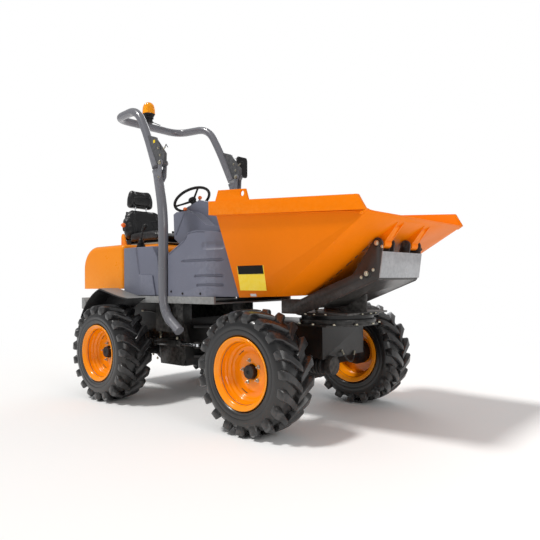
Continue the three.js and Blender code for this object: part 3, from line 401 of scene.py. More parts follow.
def makeFinish(name):
    f = finishes[name]
    material = bpy.data.materials.new(name)
    material.use_nodes = True
    tree = material.node_tree
    shader = tree.nodes["Principled BSDF"]
    # The edge colour is partly rubbed wear and partly a painted edge highlight.
    rubbedAndLit = useGroup(tree, rubAndEdgeLight, Colour=f["colour"], Bare_Colour=f["bare"], Amount=f["rubAndEdgeLight"])
    shaded = useGroup(tree, mottle, Colour=rubbedAndLit["Colour"], Shade=f["shade"],
                      Roughness=f["rough"], Scale=f.get("scale", 5.0))
    dusted = useGroup(tree, dust, Colour=shaded["Colour"], Roughness=shaded["Roughness"],
                      Amount=f["dust"], Reach=f["reach"])
    height = useGroup(tree, relief, Scale=f["grain"], Pebble=f["pebble"], Wave=f["wave"])
    bump = addNode(tree, "Bump", {"Height": height["Height"], "Strength": f["bump"],
                                  "Distance": 0.002})
    tree.links.new(dusted["Colour"], shader.inputs["Base Color"])
    tree.links.new(dusted["Roughness"], shader.inputs["Roughness"])
    tree.links.new(bump.outputs[0], shader.inputs["Normal"])
    shader.inputs["Metallic"].default_value = f.get("metal", 0.0)
    shader.inputs["Coat Weight"].default_value = f["coat"]
    shader.inputs["Coat Roughness"].default_value = f["coatRough"]
    shader.inputs["Specular IOR Level"].default_value = f.get("glint", 0.5)
    return material


materials = {name: makeFinish(name) for name in finishes}


def makeAmber():
    material = bpy.data.materials.new("amberLens")
    material.use_nodes = True
    tree = material.node_tree
    shader = tree.nodes["Principled BSDF"]
    shaded = useGroup(tree, mottle, Colour=tone(255, 172, 14), Shade=0.25, Roughness=0.1,
                      Scale=30.0)
    tree.links.new(shaded["Colour"], shader.inputs["Base Color"])
    tree.links.new(shaded["Roughness"], shader.inputs["Roughness"])
    shader.inputs["Metallic"].default_value = 0.0
    shader.inputs["Transmission Weight"].default_value = 0.35
    shader.inputs["IOR"].default_value = 1.45
    shader.inputs["Emission Color"].default_value = tone(255, 170, 0)
    shader.inputs["Emission Strength"].default_value = 0.10
    return material


materials["amberLens"] = makeAmber()
print("finishes ready:", len(materials))


# Mesh helpers.


def objectOf(name, mesh):
    made = bpy.data.objects.new(name, mesh)
    bpy.context.scene.collection.objects.link(made)
    return made


def meshOf(name, points, faces):
    mesh = bpy.data.meshes.new(name)
    mesh.from_pydata([tuple(p) for p in points], [], faces)
    shape = bmesh.new()
    shape.from_mesh(mesh)
    bmesh.ops.recalc_face_normals(shape, faces=shape.faces)
    shape.to_mesh(mesh)
    shape.free()
    return objectOf(name, mesh)


def settle(obj):
    # Turns the modifiers into plain mesh.
    bpy.context.view_layer.update()
    graph = bpy.context.evaluated_depsgraph_get()
    mesh = bpy.data.meshes.new_from_object(obj.evaluated_get(graph))
    obj.modifiers.clear()
    obj.data = mesh
    return obj


def rounded(obj, width, segments=3, angle=30):
    bevel = obj.modifiers.new("bevel", "BEVEL")
    bevel.width = width
    bevel.segments = segments
    bevel.limit_method = "ANGLE"
    bevel.angle_limit = math.radians(angle)
    return settle(obj)


def cutAway(obj, cutters):
    for cutter in cutters:
        cut = obj.modifiers.new("cut", "BOOLEAN")
        cut.operation = "DIFFERENCE"
        cut.solver = "EXACT"
        cut.object = cutter
    settle(obj)
    for cutter in cutters:
        bpy.data.objects.remove(cutter)
    return obj


def copyOf(node, name=None):
    # A copy of a frame piece with its flat faces whole again, ready for rounding.
    shape = bmesh.new()
    shape.from_mesh(nodes[node].data)
    bmesh.ops.remove_doubles(shape, verts=shape.verts, dist=1e-5)
    bmesh.ops.dissolve_limit(shape, angle_limit=math.radians(0.6), verts=shape.verts,
                             edges=shape.edges)
    for layer in list(shape.loops.layers.float_vector.values()):
        shape.loops.layers.float_vector.remove(layer)
    mesh = bpy.data.meshes.new(name or node)
    shape.to_mesh(mesh)
    shape.free()
    for attribute in [a for a in mesh.attributes if a.name == "custom_normal"]:
        mesh.attributes.remove(attribute)
    return objectOf(name or node + "_finished", mesh)


def dress(obj, body, finish, stands=(), sharp=32):
    mesh = obj.data
    mesh.materials.clear()
    mesh.materials.append(materials[finish])
    mesh.polygons.foreach_set("use_smooth", [True] * len(mesh.polygons))
    mesh.polygons.foreach_set("material_index", [0] * len(mesh.polygons))
    mesh.set_sharp_from_angle(angle=math.radians(sharp))
    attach(obj, body)
    if stands:
        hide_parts(*stands)
    return obj


def joined(name, parts):
    # Several meshes as one piece.
    shape = bmesh.new()
    for part in parts:
        part.data.transform(part.matrix_world)
        shape.from_mesh(part.data)
    mesh = bpy.data.meshes.new(name)
    shape.to_mesh(mesh)
    shape.free()
    for part in parts:
        bpy.data.objects.remove(part)
    return objectOf(name, mesh)


def swept(name, line, radius, sectors=20, closed=False):
    # A round bar along a line. The radius is one value, or one for each point.
    points, faces = [], []
    count = len(line)
    radii = radius if isinstance(radius, (list, tuple)) else [radius] * count
    ahead = (line[1] - line[0]).normalized()
    across = ahead.orthogonal().normalized()
    for i, centre in enumerate(line):
        before = line[i - 1] if (i or closed) else line[0]
        after = line[(i + 1) % count] if (i < count - 1 or closed) else line[-1]
        ahead = (after - before).normalized()
        across = (across - ahead * across.dot(ahead)).normalized()
        other = ahead.cross(across)
        for k in range(sectors):
            turn = math.tau * k / sectors
            points.append(centre + radii[i] * (math.cos(turn) * across + math.sin(turn) * other))
    for i in range(count if closed else count - 1):
        for k in range(sectors):
            a, b = i * sectors, (i + 1) % count * sectors
            n = (k + 1) % sectors
            faces.append((a + k, a + n, b + n, b + k))
    if not closed:
        faces.append(tuple(range(sectors)))
        faces.append(tuple((count - 1) * sectors + k for k in range(sectors)))
    return meshOf(name, points, faces)


def bentLine(corners, bend, steps=10):
    corners = [Vector(c) for c in corners]
    line = [corners[0]]
    for before, corner, after in zip(corners, corners[1:], corners[2:]):
        start = corner.lerp(before, min(0.5, bend / (corner - before).length))
        end = corner.lerp(after, min(0.5, bend / (corner - after).length))
        for i in range(steps + 1):
            t = i / steps
            line.append((1 - t) ** 2 * start + 2 * t * (1 - t) * corner + t * t * end)
    line.append(corners[-1])
    return [p for p, q in zip(line, [None] + line) if q is None or (p - q).length > 1e-4]


def turnedPiece(name, profile, centre, axis, sectors=48, closed=True):
    # A body of revolution: profile holds (radius, along the axis).
    along = Vector(axis).normalized()
    across = along.orthogonal().normalized()
    other = along.cross(across)
    points, faces = [], []
    count = len(profile)
    for radius, height in profile:
        for k in range(sectors):
            turn = math.tau * k / sectors
            points.append(Vector(centre) + along * height + max(radius, 1e-5) * (
                math.cos(turn) * across + math.sin(turn) * other))
    for i in range(count if closed else count - 1):
        for k in range(sectors):
            a, b = i * sectors, (i + 1) % count * sectors
            n = (k + 1) % sectors
            faces.append((a + k, a + n, b + n, b + k))
    made = meshOf(name, points, faces)
    shape = bmesh.new()
    shape.from_mesh(made.data)
    bmesh.ops.remove_doubles(shape, verts=shape.verts, dist=1e-4)
    if not closed:
        bmesh.ops.holes_fill(shape, edges=shape.edges)
    bmesh.ops.recalc_face_normals(shape, faces=shape.faces)
    shape.to_mesh(made.data)
    shape.free()
    return made


def slab(name, outline, low, high, normal="y"):
    # An outline drawn in a side, plan or front view, given depth from low to high.
    place = {"y": lambda u, v, w: at(u, w, v), "z": lambda u, v, w: at(u, v, w),
             "x": lambda u, v, w: at(w, u, v)}[normal]
    count = len(outline)
    points = [place(u, v, w) for w in (low, high) for u, v in outline]
    faces = [tuple(range(count)), tuple(range(2 * count - 1, count - 1, -1))]
    faces += [(i, (i + 1) % count, count + (i + 1) % count, count + i) for i in range(count)]
    return meshOf(name, points, faces)


def hexBolts(name, spots, size=0.011, washer=True):
    # Bolt heads with washers: spots holds (place, outward direction).
    points, faces = [], []
    for place, out in spots:
        along = Vector(out).normalized()
        across = along.orthogonal().normalized()
        other = along.cross(across)
        rings = [(16, 1.35, 0.0), (16, 1.35, 0.2), (6, 1.0, 0.2), (6, 1.0, 0.8), (6, 0.82, 0.95),
                 (6, 0.05, 0.95)]
        if not washer:
            rings = rings[2:]
            rings[0] = (6, 1.0, 0.0)
        last = None
        for sectors, radius, height in rings:
            first = len(points)
            for k in range(sectors):
                turn = math.tau * k / sectors
                points.append(Vector(place) + along * height * size + radius * size * (
                    math.cos(turn) * across + math.sin(turn) * other))
            if last is not None and last[1] == sectors:
                for k in range(sectors):
                    n = (k + 1) % sectors
                    faces.append((last[0] + k, last[0] + n, first + n, first + k))
            elif last is not None:
                faces.append(tuple(last[0] + k for k in range(last[1])))
            last = (first, sectors)
        faces.append(tuple(last[0] + k for k in range(last[1])))
    return meshOf(name, points, faces)


def ringSpots(centre, axis, radius, count, start=0.0, lift=0.0):
    along = Vector(axis).normalized()
    across = along.orthogonal().normalized()
    other = along.cross(across)
    spots = []
    for i in range(count):
        turn = math.radians(start) + math.tau * i / count
        spots.append((Vector(centre) + along * lift + radius * (
            math.cos(turn) * across + math.sin(turn) * other), along))
    return spots


# Wheels.

tyre = {
    "lugs": 19, "sectors": 114,
    # (radius, distance from the middle plane) from the bead to the crown
    "wall": [(0.196, 0.111), (0.208, 0.1125), (0.2215, 0.117), (0.2265, 0.1255), (0.233, 0.1305),
             (0.239, 0.1297), (0.243, 0.1312), (0.262, 0.1338), (0.266, 0.1322), (0.270, 0.1340),
             (0.288, 0.1335), (0.304, 0.1305), (0.318, 0.1250), (0.330, 0.1160), (0.339, 0.1040),
             (0.346, 0.0850), (0.350, 0.0550), (0.3522, 0.0250)],
    # (top radius, top y, base radius, base y, lean, half width) along a lug to the middle
    "lug": [
        (0.3130, 0.1322, 0.296, 0.1240, 0.000, 0.0215), (0.3290, 0.1378, 0.310, 0.1180, 0.000, 0.0250),
        (0.3480, 0.1382, 0.324, 0.1060, 0.000, 0.0275), (0.3635, 0.1330, 0.334, 0.0980, 0.006, 0.0285),
        (0.3725, 0.1190, 0.339, 0.0900, 0.022, 0.0275), (0.3762, 0.0980, 0.342, 0.0820, 0.050, 0.0255),
        (0.3785, 0.0740, 0.345, 0.0700, 0.092, 0.0235), (0.3795, 0.0480, 0.347, 0.0480, 0.145, 0.0220),
        (0.3799, 0.0220, 0.348, 0.0220, 0.203, 0.0210), (0.3799, 0.0020, 0.348, 0.0020, 0.252, 0.0200),
        (0.3785, -0.0100, 0.348, -0.0100, 0.280, 0.0170),
    ],
    "skirt": 0.0070, "chamfer": 0.0045, "slope": 0.12, "shoulder": 0.001, "lugRing": 0.36,
    "crown": 0.3525,
    # (radius, y) of the inner face, from the crown to the bead
    "lining": [(0.336, 0.075), (0.290, 0.118), (0.200, 0.092), (0.186, 0.095)],
}
rim = {
    "sectors": 96, "stud": 0.070, "studs": 5, "studStart": 20, "nut": 0.0095,
    "discFace": 0.0236, "stem": (0.0042, 0.022),
    "valveFoot": (0.118, 0.020, -0.094), "valveReach": (0.012, 0.034, -0.010),
    "valveNut": 0.0065, "valveStem": 0.004,
    "slots": ((118, 20), (232, 22)), "slotRing": 0.139, "slotFace": 0.0203, "slotRadius": 0.0022,
    # (radius, y) round the closed section, +y on the outer face
    "section": [(0.2190, 0.1225), (0.2212, 0.1265), (0.2200, 0.1305), (0.2160, 0.1325),
                (0.2115, 0.1310), (0.2060, 0.1235), (0.1985, 0.1190), (0.1930, 0.1150),
                (0.1885, 0.1060), (0.1875, 0.0900), (0.1868, 0.0760), (0.1850, 0.0690),
                (0.1790, 0.0625), (0.1772, 0.0560), (0.1760, 0.0480), (0.1700, 0.0440),
                (0.1640, 0.0410), (0.1610, 0.0360), (0.1605, 0.0290), (0.1560, 0.0225),
                (0.1480, 0.0200), (0.1260, 0.0200), (0.1180, 0.0222), (0.1080, 0.0236),
                (0.0620, 0.0236), (0.0520, 0.0228), (0.0470, 0.0200), (0.0470, 0.0125),
                (0.1500, 0.0120), (0.1650, 0.0120), (0.1610, -0.0500), (0.1865, -0.0720),
                (0.1880, -0.1200), (0.2130, -0.1290), (0.2190, -0.1300), (0.2190, -0.1215),
                (0.1955, -0.1145), (0.1950, -0.0735), (0.1692, -0.0525), (0.1692, 0.0420),
                (0.1950, 0.0620), (0.1950, 0.1125)],
}


def tyrePiece(name, hub, side):
    sectors, wall = tyre["sectors"], tyre["wall"]
    profile = wall + [(tyre["crown"], 0.0)] + [(r, -y) for r, y in reversed(wall)]
    profile += [(r, -y) for r, y in reversed(tyre["lining"])] + tyre["lining"]
    points, faces = [], []
    count = len(profile)
    for radius, y in profile:
        for k in range(sectors):
            turn = math.tau * k / sectors
            points.append((radius * math.sin(turn), side * y, radius * math.cos(turn)))
    for i in range(count):
        for k in range(sectors):
            a, b = i * sectors, (i + 1) % count * sectors
            n = (k + 1) % sectors
            faces.append((a + k, a + n, b + n, b + k))
    pitch = math.tau / tyre["lugs"]
    for row in (1, -1):
        for i in range(tyre["lugs"]):
            start = (i + (0.5 if row < 0 else 0)) * pitch
            addLug(points, faces, start, row)
    made = meshOf(name, points, faces)
    made.data.transform(Matrix.Translation(hub))
    return made


def addLug(points, faces, start, row):
    first = len(points)
    skirt, chamfer = tyre["skirt"], tyre["chamfer"]
    for top, y, base, baseY, lean, half in tyre["lug"]:
        high = top - chamfer
        highY = y - (y - baseY) * tyre["slope"]
        section = [(base, baseY, -half - skirt), (high, highY, -half - tyre["shoulder"]),
                   (top, y, -half + chamfer), (top, y, half - chamfer),
                   (high, highY, half + tyre["shoulder"]), (base, baseY, half + skirt)]
        for radius, across, shift in section:
            turn = start + lean + shift / tyre["lugRing"]
            points.append((radius * math.sin(turn), row * across, radius * math.cos(turn)))
    rows, wide = len(tyre["lug"]), 6
    for i in range(rows - 1):
        for k in range(wide):
            a, b = first + i * wide, first + (i + 1) * wide
            n = (k + 1) % wide
            faces.append((a + k, a + n, b + n, b + k))
    faces.append(tuple(first + k for k in range(wide)))
    faces.append(tuple(first + (rows - 1) * wide + k for k in range(wide)))


def rimPiece(name, hub, side):
    return turnedPiece(name, rim["section"], hub, Vector((0, side, 0)), rim["sectors"])


def wheelFittings(name, hub, side):
    out = Vector((0, side, 0))
    spots = ringSpots(hub + out * rim["discFace"], out, rim["stud"], rim["studs"], rim["studStart"])
    studs = hexBolts(name, spots, rim["nut"])
    wide, tall = rim["stem"]
    stems = [turnedPiece("stem", [(0.0, 0.0), (wide, 0.0), (wide, tall), (0.0, tall)],
                         place, direction, 10, closed=False) for place, direction in spots]
    x, y, z = rim["valveFoot"]
    foot = hub + Vector((x, y * side, z))
    x, y, z = rim["valveReach"]
    tip = foot + Vector((x, y * side, z))
    nut, stem = rim["valveNut"], rim["valveStem"]
    valve = swept("valve", [foot, foot.lerp(tip, 0.35), foot.lerp(tip, 0.36), tip],
                  [nut, nut, stem, stem], 10)
    return joined(name, [studs, *stems, valve])


def rimSlotShade(name, hub, side):
    # Two narrow hand slots by the disc's edge, drawn as dark inlays: painted shade in place of the
    # dark inside of real slots.
    parts = []
    ring = rim["slotRing"]
    for start, sweep in rim["slots"]:
        line = []
        for i in range(9):
            turn = math.radians(start + sweep * i / 8)
            line.append(hub + Vector((ring * math.cos(turn), rim["slotFace"] * side,
                                      ring * math.sin(turn))))
        parts.append(swept("slot", line, rim["slotRadius"], 8))
    return joined(name, parts)


def makeWheels():
    for end in ("front", "rear"):
        for side, way in sides.items():
            key = end + "_" + side
            centre = jointAt("wheel_" + key + "_spin")
            dress(tyrePiece("tyre_tread_" + key, centre, way), "wheel_" + key, "tyreRubber",
                  ("tyre_" + key,), 38)
            dress(rimPiece("rim_dish_" + key, centre, way), "wheel_" + key, "rimPaint",
                  ("wheel_rim_" + key,), 50)
            dress(wheelFittings("wheel_studs_" + key, centre, way), "wheel_" + key, "zinc")
            # The slots are dark strips laid on the disc face: painted shade, not cut openings.
            dress(rimSlotShade("rim_slot_shade_" + key, centre, way), "wheel_" + key, "blackMoulding")


makeWheels()
print("wheels ready")


# Skip and its cradle.

skip = {
    "edge": 0.0025, "seamFrom": (0.921, 0.169, 0.8283), "seamTo": (1.463, 0.227, 1.1870),
    "seamRuns": [(0.12, 0.20), (0.27, 0.33), (0.38, 0.47), (0.53, 0.62), (0.66, 0.70),
                 (0.76, 0.84)], "seamBead": 0.0035,
    "signCentre": (0.712, 0.950), "signSize": (0.236, 0.160), "signHead": 0.34,
    "web": {"from": (1.4875, 0, 1.1560), "to": (1.5925, 0, 1.30), "middle": 0.170,
            "y": (0.139, 0.201), "sheet": 0.005},
    "tagCentre": (0.706, 0.842), "tagSize": (0.05, 0.017), "sheet": 0.0012,
}
cradle = {
    "edge": 0.002, "bolt": 0.0075, "pinBolt": 0.0115, "plateEdge": 0.0015,
    # how far out the pins' caps stand, the caps' radii, and the bolts that hold them
    "capY": 0.246, "tipCap": 0.0245, "baseCap": 0.027, "capHeight": 0.007, "capTop": 0.0095,
    "capBoltRing": 0.046, "capBoltAngles": (28, 208), "capBoltSpot": (0.030, -0.022),
    "ringBolts": {"radius": 0.257, "count": 20, "start": 9},
    # each weld: x and z of its two ends, and its bead's radius
    "weldY": 0.2475, "welds": [((0.74, 0.7165), (0.888, 0.7165), 0.004),
                               ((1.025, 0.7615), (1.45, 0.9255), 0.0035)],
}


def wallSpot(body, x, z, side):
    # Where a side wall lies at that height, with its outward direction.
    start = at(x, side * 0.9, z)
    place, normal = body.ray_cast(start, Vector((0, -side, 0)))[1:3]
    return place, normal


def wallPlate(name, body, centre, size, side, lift=0.0):
    place, normal = wallSpot(body, *centre, side)
    along = Vector((1, 0, 0))
    along = (along - normal * along.dot(normal)).normalized()
    up = normal.cross(along) * side
    half = Vector((size[0] / 2, size[1] / 2))
    base = place + normal * (lift + skip["sheet"] / 2)
    points = [base + along * (u * half.x) + up * (v * half.y) + normal * (w * skip["sheet"] / 2)
              for w in (-1, 1) for u, v in ((-1, -1), (1, -1), (1, 1), (-1, 1))]
    faces = [(0, 1, 2, 3), (4, 5, 6, 7), (0, 1, 5, 4), (1, 2, 6, 5), (2, 3, 7, 6), (3, 0, 4, 7)]
    return rounded(meshOf(name, points, faces), 0.0004, 1)


def weldBead(name, start, end, radius, wave=0.16):
    # A laid bead: a bar whose width rises and falls with each ripple.
    start, end = Vector(start), Vector(end)
    steps = max(6, int((end - start).length / (radius * 0.9)))
    line = [start.lerp(end, i / steps) for i in range(steps + 1)]
    radii = [radius * (1 - wave * (i % 2)) * (0.5 if i in (0, steps) else 1)
             for i in range(steps + 1)]
    return swept(name, line, radii, 8)


def makeBracketWebs(tub):
    # The sheet that closes the front of each hinge bracket, from the pin up to the ramp.
    web = skip["web"]
    start, aim = at(*web["from"]), at(*web["to"])
    way = (aim - start).normalized()
    across = Vector((way.z, 0, -way.x))
    parts = []
    for side in sides.values():
        middle = Vector((0, side * web["middle"], 0))
        reach = (aim - start).length
        hit, spot = tub.ray_cast(start + middle - across * web["sheet"], way, distance=reach)[:2]
        end = start + way * ((spot - start - middle).dot(way) if hit else reach)
        low, high = sorted((side * web["y"][0], side * web["y"][1]))
        line = [(p.x - midAxle, p.z) for p in (start, end, end - across * web["sheet"],
                                              start - across * web["sheet"])]
        parts.append(rounded(slab("web", line, low, high), 0.0008, 2))
    dress(joined("bracket_webs", parts), "skip", "skipPaint")


def makeSkip():
    tub = dress(rounded(copyOf("skip_tub", "skip_body"), skip["edge"], 3), "skip", "skipPaint",
                ("skip_tub",))
    bpy.context.view_layer.update()
    beads = []
    for side in sides.values():
        start = at(*skip["seamFrom"])
        end = at(*skip["seamTo"])
        start.y *= side
        end.y *= side
        for low, high in skip["seamRuns"]:
            beads.append(weldBead("bead", start.lerp(end, low), start.lerp(end, high),
                                  skip["seamBead"]))
    # The ramp's stitch-weld beads are real, but their black chassis paint is painted shade for the
    # dark dashes along the seam; the skip's other welds take its orange.
    dress(joined("ramp_welds_in_painted_shade", beads), "skip", "chassisPaint")
    width, height = skip["signSize"]
    head = height * skip["signHead"]
    x, z = skip["signCentre"]
    dress(wallPlate("sign_plate", tub, (x, z), (width, height), -1), "skip", "signYellow")
    dress(wallPlate("sign_plate_head", tub, (x, z + (height - head) / 2), (width - 0.012, head),
                    -1, skip["sheet"]), "skip", "signBlack")
    dress(wallPlate("skip_tag", tub, skip["tagCentre"], skip["tagSize"], -1), "skip", "signGrey")
    rims = []
    for side in sides.values():
        x0, x1 = 0.46, 1.55
        z0, z1 = 1.366, 1.289
        rims.append(weldBead("bead", at(x0, side * 0.6115, z0), at(x1, side * 0.6115, z1), 0.0032))
    dress(joined("rim_welds", rims), "skip", "skipPaint")
    makeBracketWebs(tub)


def makeCradle():
    pin = jointAt("skip_tip")
    base = jointAt("tip_cylinder_swing")
    dress(rounded(copyOf("skip_cradle", "cradle_body"), cradle["edge"], 2), "turntable",
          "cradlePaint", ("skip_cradle",))
    dress(rounded(copyOf("cradle_front_plate", "cradle_face"), cradle["plateEdge"], 2),
          "turntable", "platePaint", ("cradle_front_plate",))
    dress(rounded(copyOf("turntable_ring", "slew_ring_top"), cradle["edge"], 3, 40), "turntable",
          "chassisPaint", ("turntable_ring",))
    keepers, bolts, pins = [], [], []
    capY, tall, top = cradle["capY"], cradle["capHeight"], cradle["capTop"]
    for side in sides.values():
        out = Vector((0, side, 0))
        for centre, radius in ((pin, cradle["tipCap"]), (base, cradle["baseCap"])):
            face = Vector((centre.x, side * capY, centre.z))
            cap = [(0.0, 0.0), (radius, 0.0), (radius, tall), (radius - 0.004, top),
                   (0.008, top), (0.006, 0.006), (0.0, 0.006)]
            keepers.append(turnedPiece("keeper", cap, face, out, 28, closed=False))
        for lean in cradle["capBoltAngles"]:
            turn = math.radians(lean)
            place = Vector((base.x + cradle["capBoltRing"] * math.cos(turn), side * capY,
                            base.z + cradle["capBoltRing"] * math.sin(turn)))
            bolts.append((place, out))
        pins.append((Vector((base.x, side * (capY + top), base.z)), out))
        pins.append((Vector((pin.x, side * (capY + top), pin.z)), out))
        dx, dz = cradle["capBoltSpot"]
        bolts.append((Vector((pin.x + dx, side * capY, pin.z + dz)), out))
    ring, spots = jointAt("skip_swivel"), cradle["ringBolts"]
    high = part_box("turntable_ring")[1]
    bolts += ringSpots((ring.x, 0, high.z), (0, 0, 1), spots["radius"], spots["count"],
                       spots["start"])
    dress(joined("cradle_pin_caps", keepers), "turntable", "chassisPaint")
    dress(hexBolts("cradle_bolts", bolts, cradle["bolt"]), "turntable", "zinc")
    dress(hexBolts("cradle_pin_bolts", pins, cradle["pinBolt"]), "turntable", "zinc")
    welds = []
    for side in sides.values():
        y = side * cradle["weldY"]
        for (x0, z0), (x1, z1), radius in cradle["welds"]:
            welds.append(weldBead("bead", at(x0, y, z0), at(x1, y, z1), radius))
    dress(joined("cradle_welds", welds), "turntable", "cradlePaint")


# Chassis.

chassis = {
    "edge": 0.002,
    # the axle's flange ring and its saddle bolts
    "axleRing": {"y": 0.126, "radius": 0.108, "count": 10, "bolt": 0.009},
    "saddle": {"half": 0.045, "y": 0.205, "rise": 0.1435},
    "slewRing": {"radius": 0.272, "count": 12, "start": 15, "behind": 0.2, "bolt": 0.010},
    # (x, z) on the rear frame's side plates, and y along the bumper
    "sideBolts": [(-0.42, 0.64), (-0.42, 0.71)], "lowBolts": (-0.92, -1.04, -1.18),
    "lowBoltZ": 0.56, "sideFace": 0.2405, "bumperBolts": (-0.3, -0.2, 0.2, 0.3),
    "bumperBoltZ": 0.745, "frameBolt": 0.012,
}


def hose(name, body, route, radius, bend):
    # A hose held at both ends, with its crimped metal ends.
    line = bentLine([at(*p) for p in route], bend, 8)
    dress(swept(name, line, radius, 14), body, "hoseRubber")
    ends = []
    for tip, inner in ((line[0], line[1]), (line[-1], line[-2])):
        way = (inner - tip).normalized()
        big = radius * 1.35
        ends.append(swept("crimp", [tip, tip + way * 0.006, tip + way * 0.0065, tip + way * 0.03,
                                    tip + way * 0.0305, tip + way * 0.034],
                          [big * 1.15, big * 1.15, big, big, radius * 1.1, radius * 1.05], 12))
    dress(joined(name + "_ends", ends), body, "zinc")


def driveMotor(name, centre, axis, radius, length):
    # The travel motor's ribbed housing with its round end cap.
    rings = [(0.0, 0.0), (radius * 0.72, 0.0), (radius * 0.72, length * 0.14)]
    for i in range(4):
        start = length * (0.16 + 0.13 * i)
        rings += [(radius * 0.86, start), (radius, start + length * 0.02),
                  (radius, start + length * 0.08), (radius * 0.86, start + length * 0.10)]
    rings += [(radius * 0.80, length * 0.72), (radius * 0.80, length * 0.80),
              (radius * 0.98, length * 0.82), (radius * 0.98, length * 0.95),
              (radius * 0.92, length), (0.0, length)]
    return turnedPiece(name, rings, centre, axis, 40, closed=False)


def makeChassis():
    copies = [
        ("rear_frame", "rear_frame_welded", "rear_chassis", "chassisPaint", "black_paint"),
        ("engine_block", "engine_casting", "rear_chassis", "castIron", "cast_iron"),
        ("rear_bumper", "bumper_beam", "rear_chassis", "sillPaint", "grey_paint"),
        ("floor_plate", "floor_and_sills", "rear_chassis", "sillPaint", "grey_paint"),
        ("pivot_block", "pivot_casting", "pivot", "castIron", "cast_iron"),
        ("front_frame", "front_frame_welded", "front_chassis", "chassisPaint", "black_paint"),
        ("turntable_base", "slew_ring_base", "front_chassis", "chassisPaint", "black_paint"),
    ]
    for node, name, body, finish, slot in copies:
        dress(rounded(copyOf(node, name), chassis["edge"], 2, 35), body, finish, (node,))
    for end, hub, body in (("rear", rearHub, "rear_chassis"), ("front", frontHub, "front_chassis")):
        dress(axlePiece(end + "_axle_casting", hub), body, "castIron",
              (end + "_axle",), 40)
        bolts = []
        rings, saddle = chassis["axleRing"], chassis["saddle"]
        for side in sides.values():
            bolts += ringSpots(Vector((hub.x, side * rings["y"], hub.z)), (0, side, 0),
                               rings["radius"], rings["count"])
            for dx in (-saddle["half"], saddle["half"]):
                place = Vector((hub.x + dx, side * saddle["y"], hub.z + saddle["rise"]))
                bolts.append((place, (0, 0, -1)))
        dress(hexBolts(end + "_axle_bolts", bolts, rings["bolt"]), body, "zinc")
    ring, slew = jointAt("skip_swivel"), chassis["slewRing"]
    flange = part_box("front_frame")[1].z
    bolts = ringSpots((ring.x, 0, flange), (0, 0, 1), slew["radius"], slew["count"], slew["start"])
    bolts = [b for b in bolts if b[0].x > ring.x - slew["behind"]]
    dress(hexBolts("slew_base_bolts", bolts, slew["bolt"]), "front_chassis", "zinc")
    face = chassis["sideFace"]
    plates = [(at(x, s * face, z), (0, s, 0)) for s in (1, -1) for x, z in chassis["sideBolts"]]
    plates += [(at(x, s * face, chassis["lowBoltZ"]), (0, s, 0)) for s in (1, -1)
               for x in chassis["lowBolts"]]
    plates += [(Vector((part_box("rear_bumper")[0].x, y, chassis["bumperBoltZ"])), (-1, 0, 0))
               for y in chassis["bumperBolts"]]
    dress(hexBolts("frame_bolts", plates, chassis["frameBolt"]), "rear_chassis", "zinc")


def axlePiece(name, hub):
    discY = abs(hub.y) + 0.130 - 0.110
    flange = discY - 0.0083
    half = [(0.058, 0.0), (0.122, 0.0), (0.125, 0.012), (0.125, 0.066), (0.119, 0.080),
            (0.112, 0.090), (0.092, 0.110), (0.074, 0.135), (0.063, 0.165), (0.058, 0.200),
            (0.058, flange - 0.110), (0.064, flange - 0.100), (0.084, flange - 0.078),
            (0.092, flange - 0.066), (0.092, flange), (0.043, flange), (0.043, discY + 0.022),
            (0.041, discY + 0.030), (0.034, discY + 0.034), (0.012, discY + 0.034),
            (0.010, discY + 0.030), (0.0, discY + 0.030)]
    profile = [(r, -y) for r, y in reversed(half[1:])] + half[1:]
    return turnedPiece(name, profile, Vector((hub.x, 0, hub.z)), (0, 1, 0), 40, closed=False)


# (x, y, z) along each hose, held at both ends
hoses = {
    "motor_hose_upper": {"body": "front_chassis", "radius": 0.0095, "bend": 0.06, "route": [
        (0.93, -0.155, 0.440), (0.93, -0.150, 0.52), (0.80, -0.10, 0.55), (0.60, -0.06, 0.53),
        (0.40, -0.05, 0.50), (0.22, -0.10, 0.47), (0.065, -0.15, 0.47)]},
    "motor_hose_lower": {"body": "front_chassis", "radius": 0.0095, "bend": 0.06, "route": [
        (0.97, -0.155, 0.440), (0.975, -0.145, 0.55), (0.80, -0.02, 0.58), (0.60, 0.02, 0.55),
        (0.40, 0.02, 0.52), (0.22, -0.04, 0.50), (0.065, -0.11, 0.50)]},
    "lamp_loom": {"body": "front_chassis", "radius": 0.005, "bend": 0.04, "route": [
        (1.052, -0.03, 0.47), (1.08, -0.035, 0.43), (1.085, 0.02, 0.385), (1.07, 0.08, 0.40),
        (1.052, 0.12, 0.45)]},
    "tip_hose_base": {"body": "turntable", "radius": 0.008, "bend": 0.05, "route": [
        (1.352, -0.045, 0.985), (1.27, -0.11, 0.955), (1.12, -0.12, 0.862), (0.98, -0.11, 0.80),
        (0.90, -0.06, 0.765), (0.86, -0.05, 0.733)]},
    "steering_hose_front": {"body": "rear_chassis", "radius": 0.008, "bend": 0.04, "route": [
        (-0.60, -0.245, 0.50), (-0.59, -0.275, 0.56), (-0.52, -0.275, 0.60), (-0.46, -0.255, 0.62),
        (-0.40, -0.247, 0.60), (-0.33, -0.247, 0.56)]},
    "brake_line": {"body": "rear_chassis", "radius": 0.006, "bend": 0.04, "route": [
        (-0.86, -0.245, 0.69), (-0.70, -0.258, 0.69), (-0.56, -0.262, 0.66), (-0.44, -0.262, 0.67),
        (-0.34, -0.247, 0.66)]},
    "pump_hose": {"body": "rear_chassis", "radius": 0.011, "bend": 0.06, "route": [
        (-0.90, -0.12, 0.68), (-0.80, -0.13, 0.66), (-0.66, -0.12, 0.58), (-0.52, -0.10, 0.52),
        (-0.42, -0.10, 0.50), (-0.315, -0.10, 0.50)]},
}


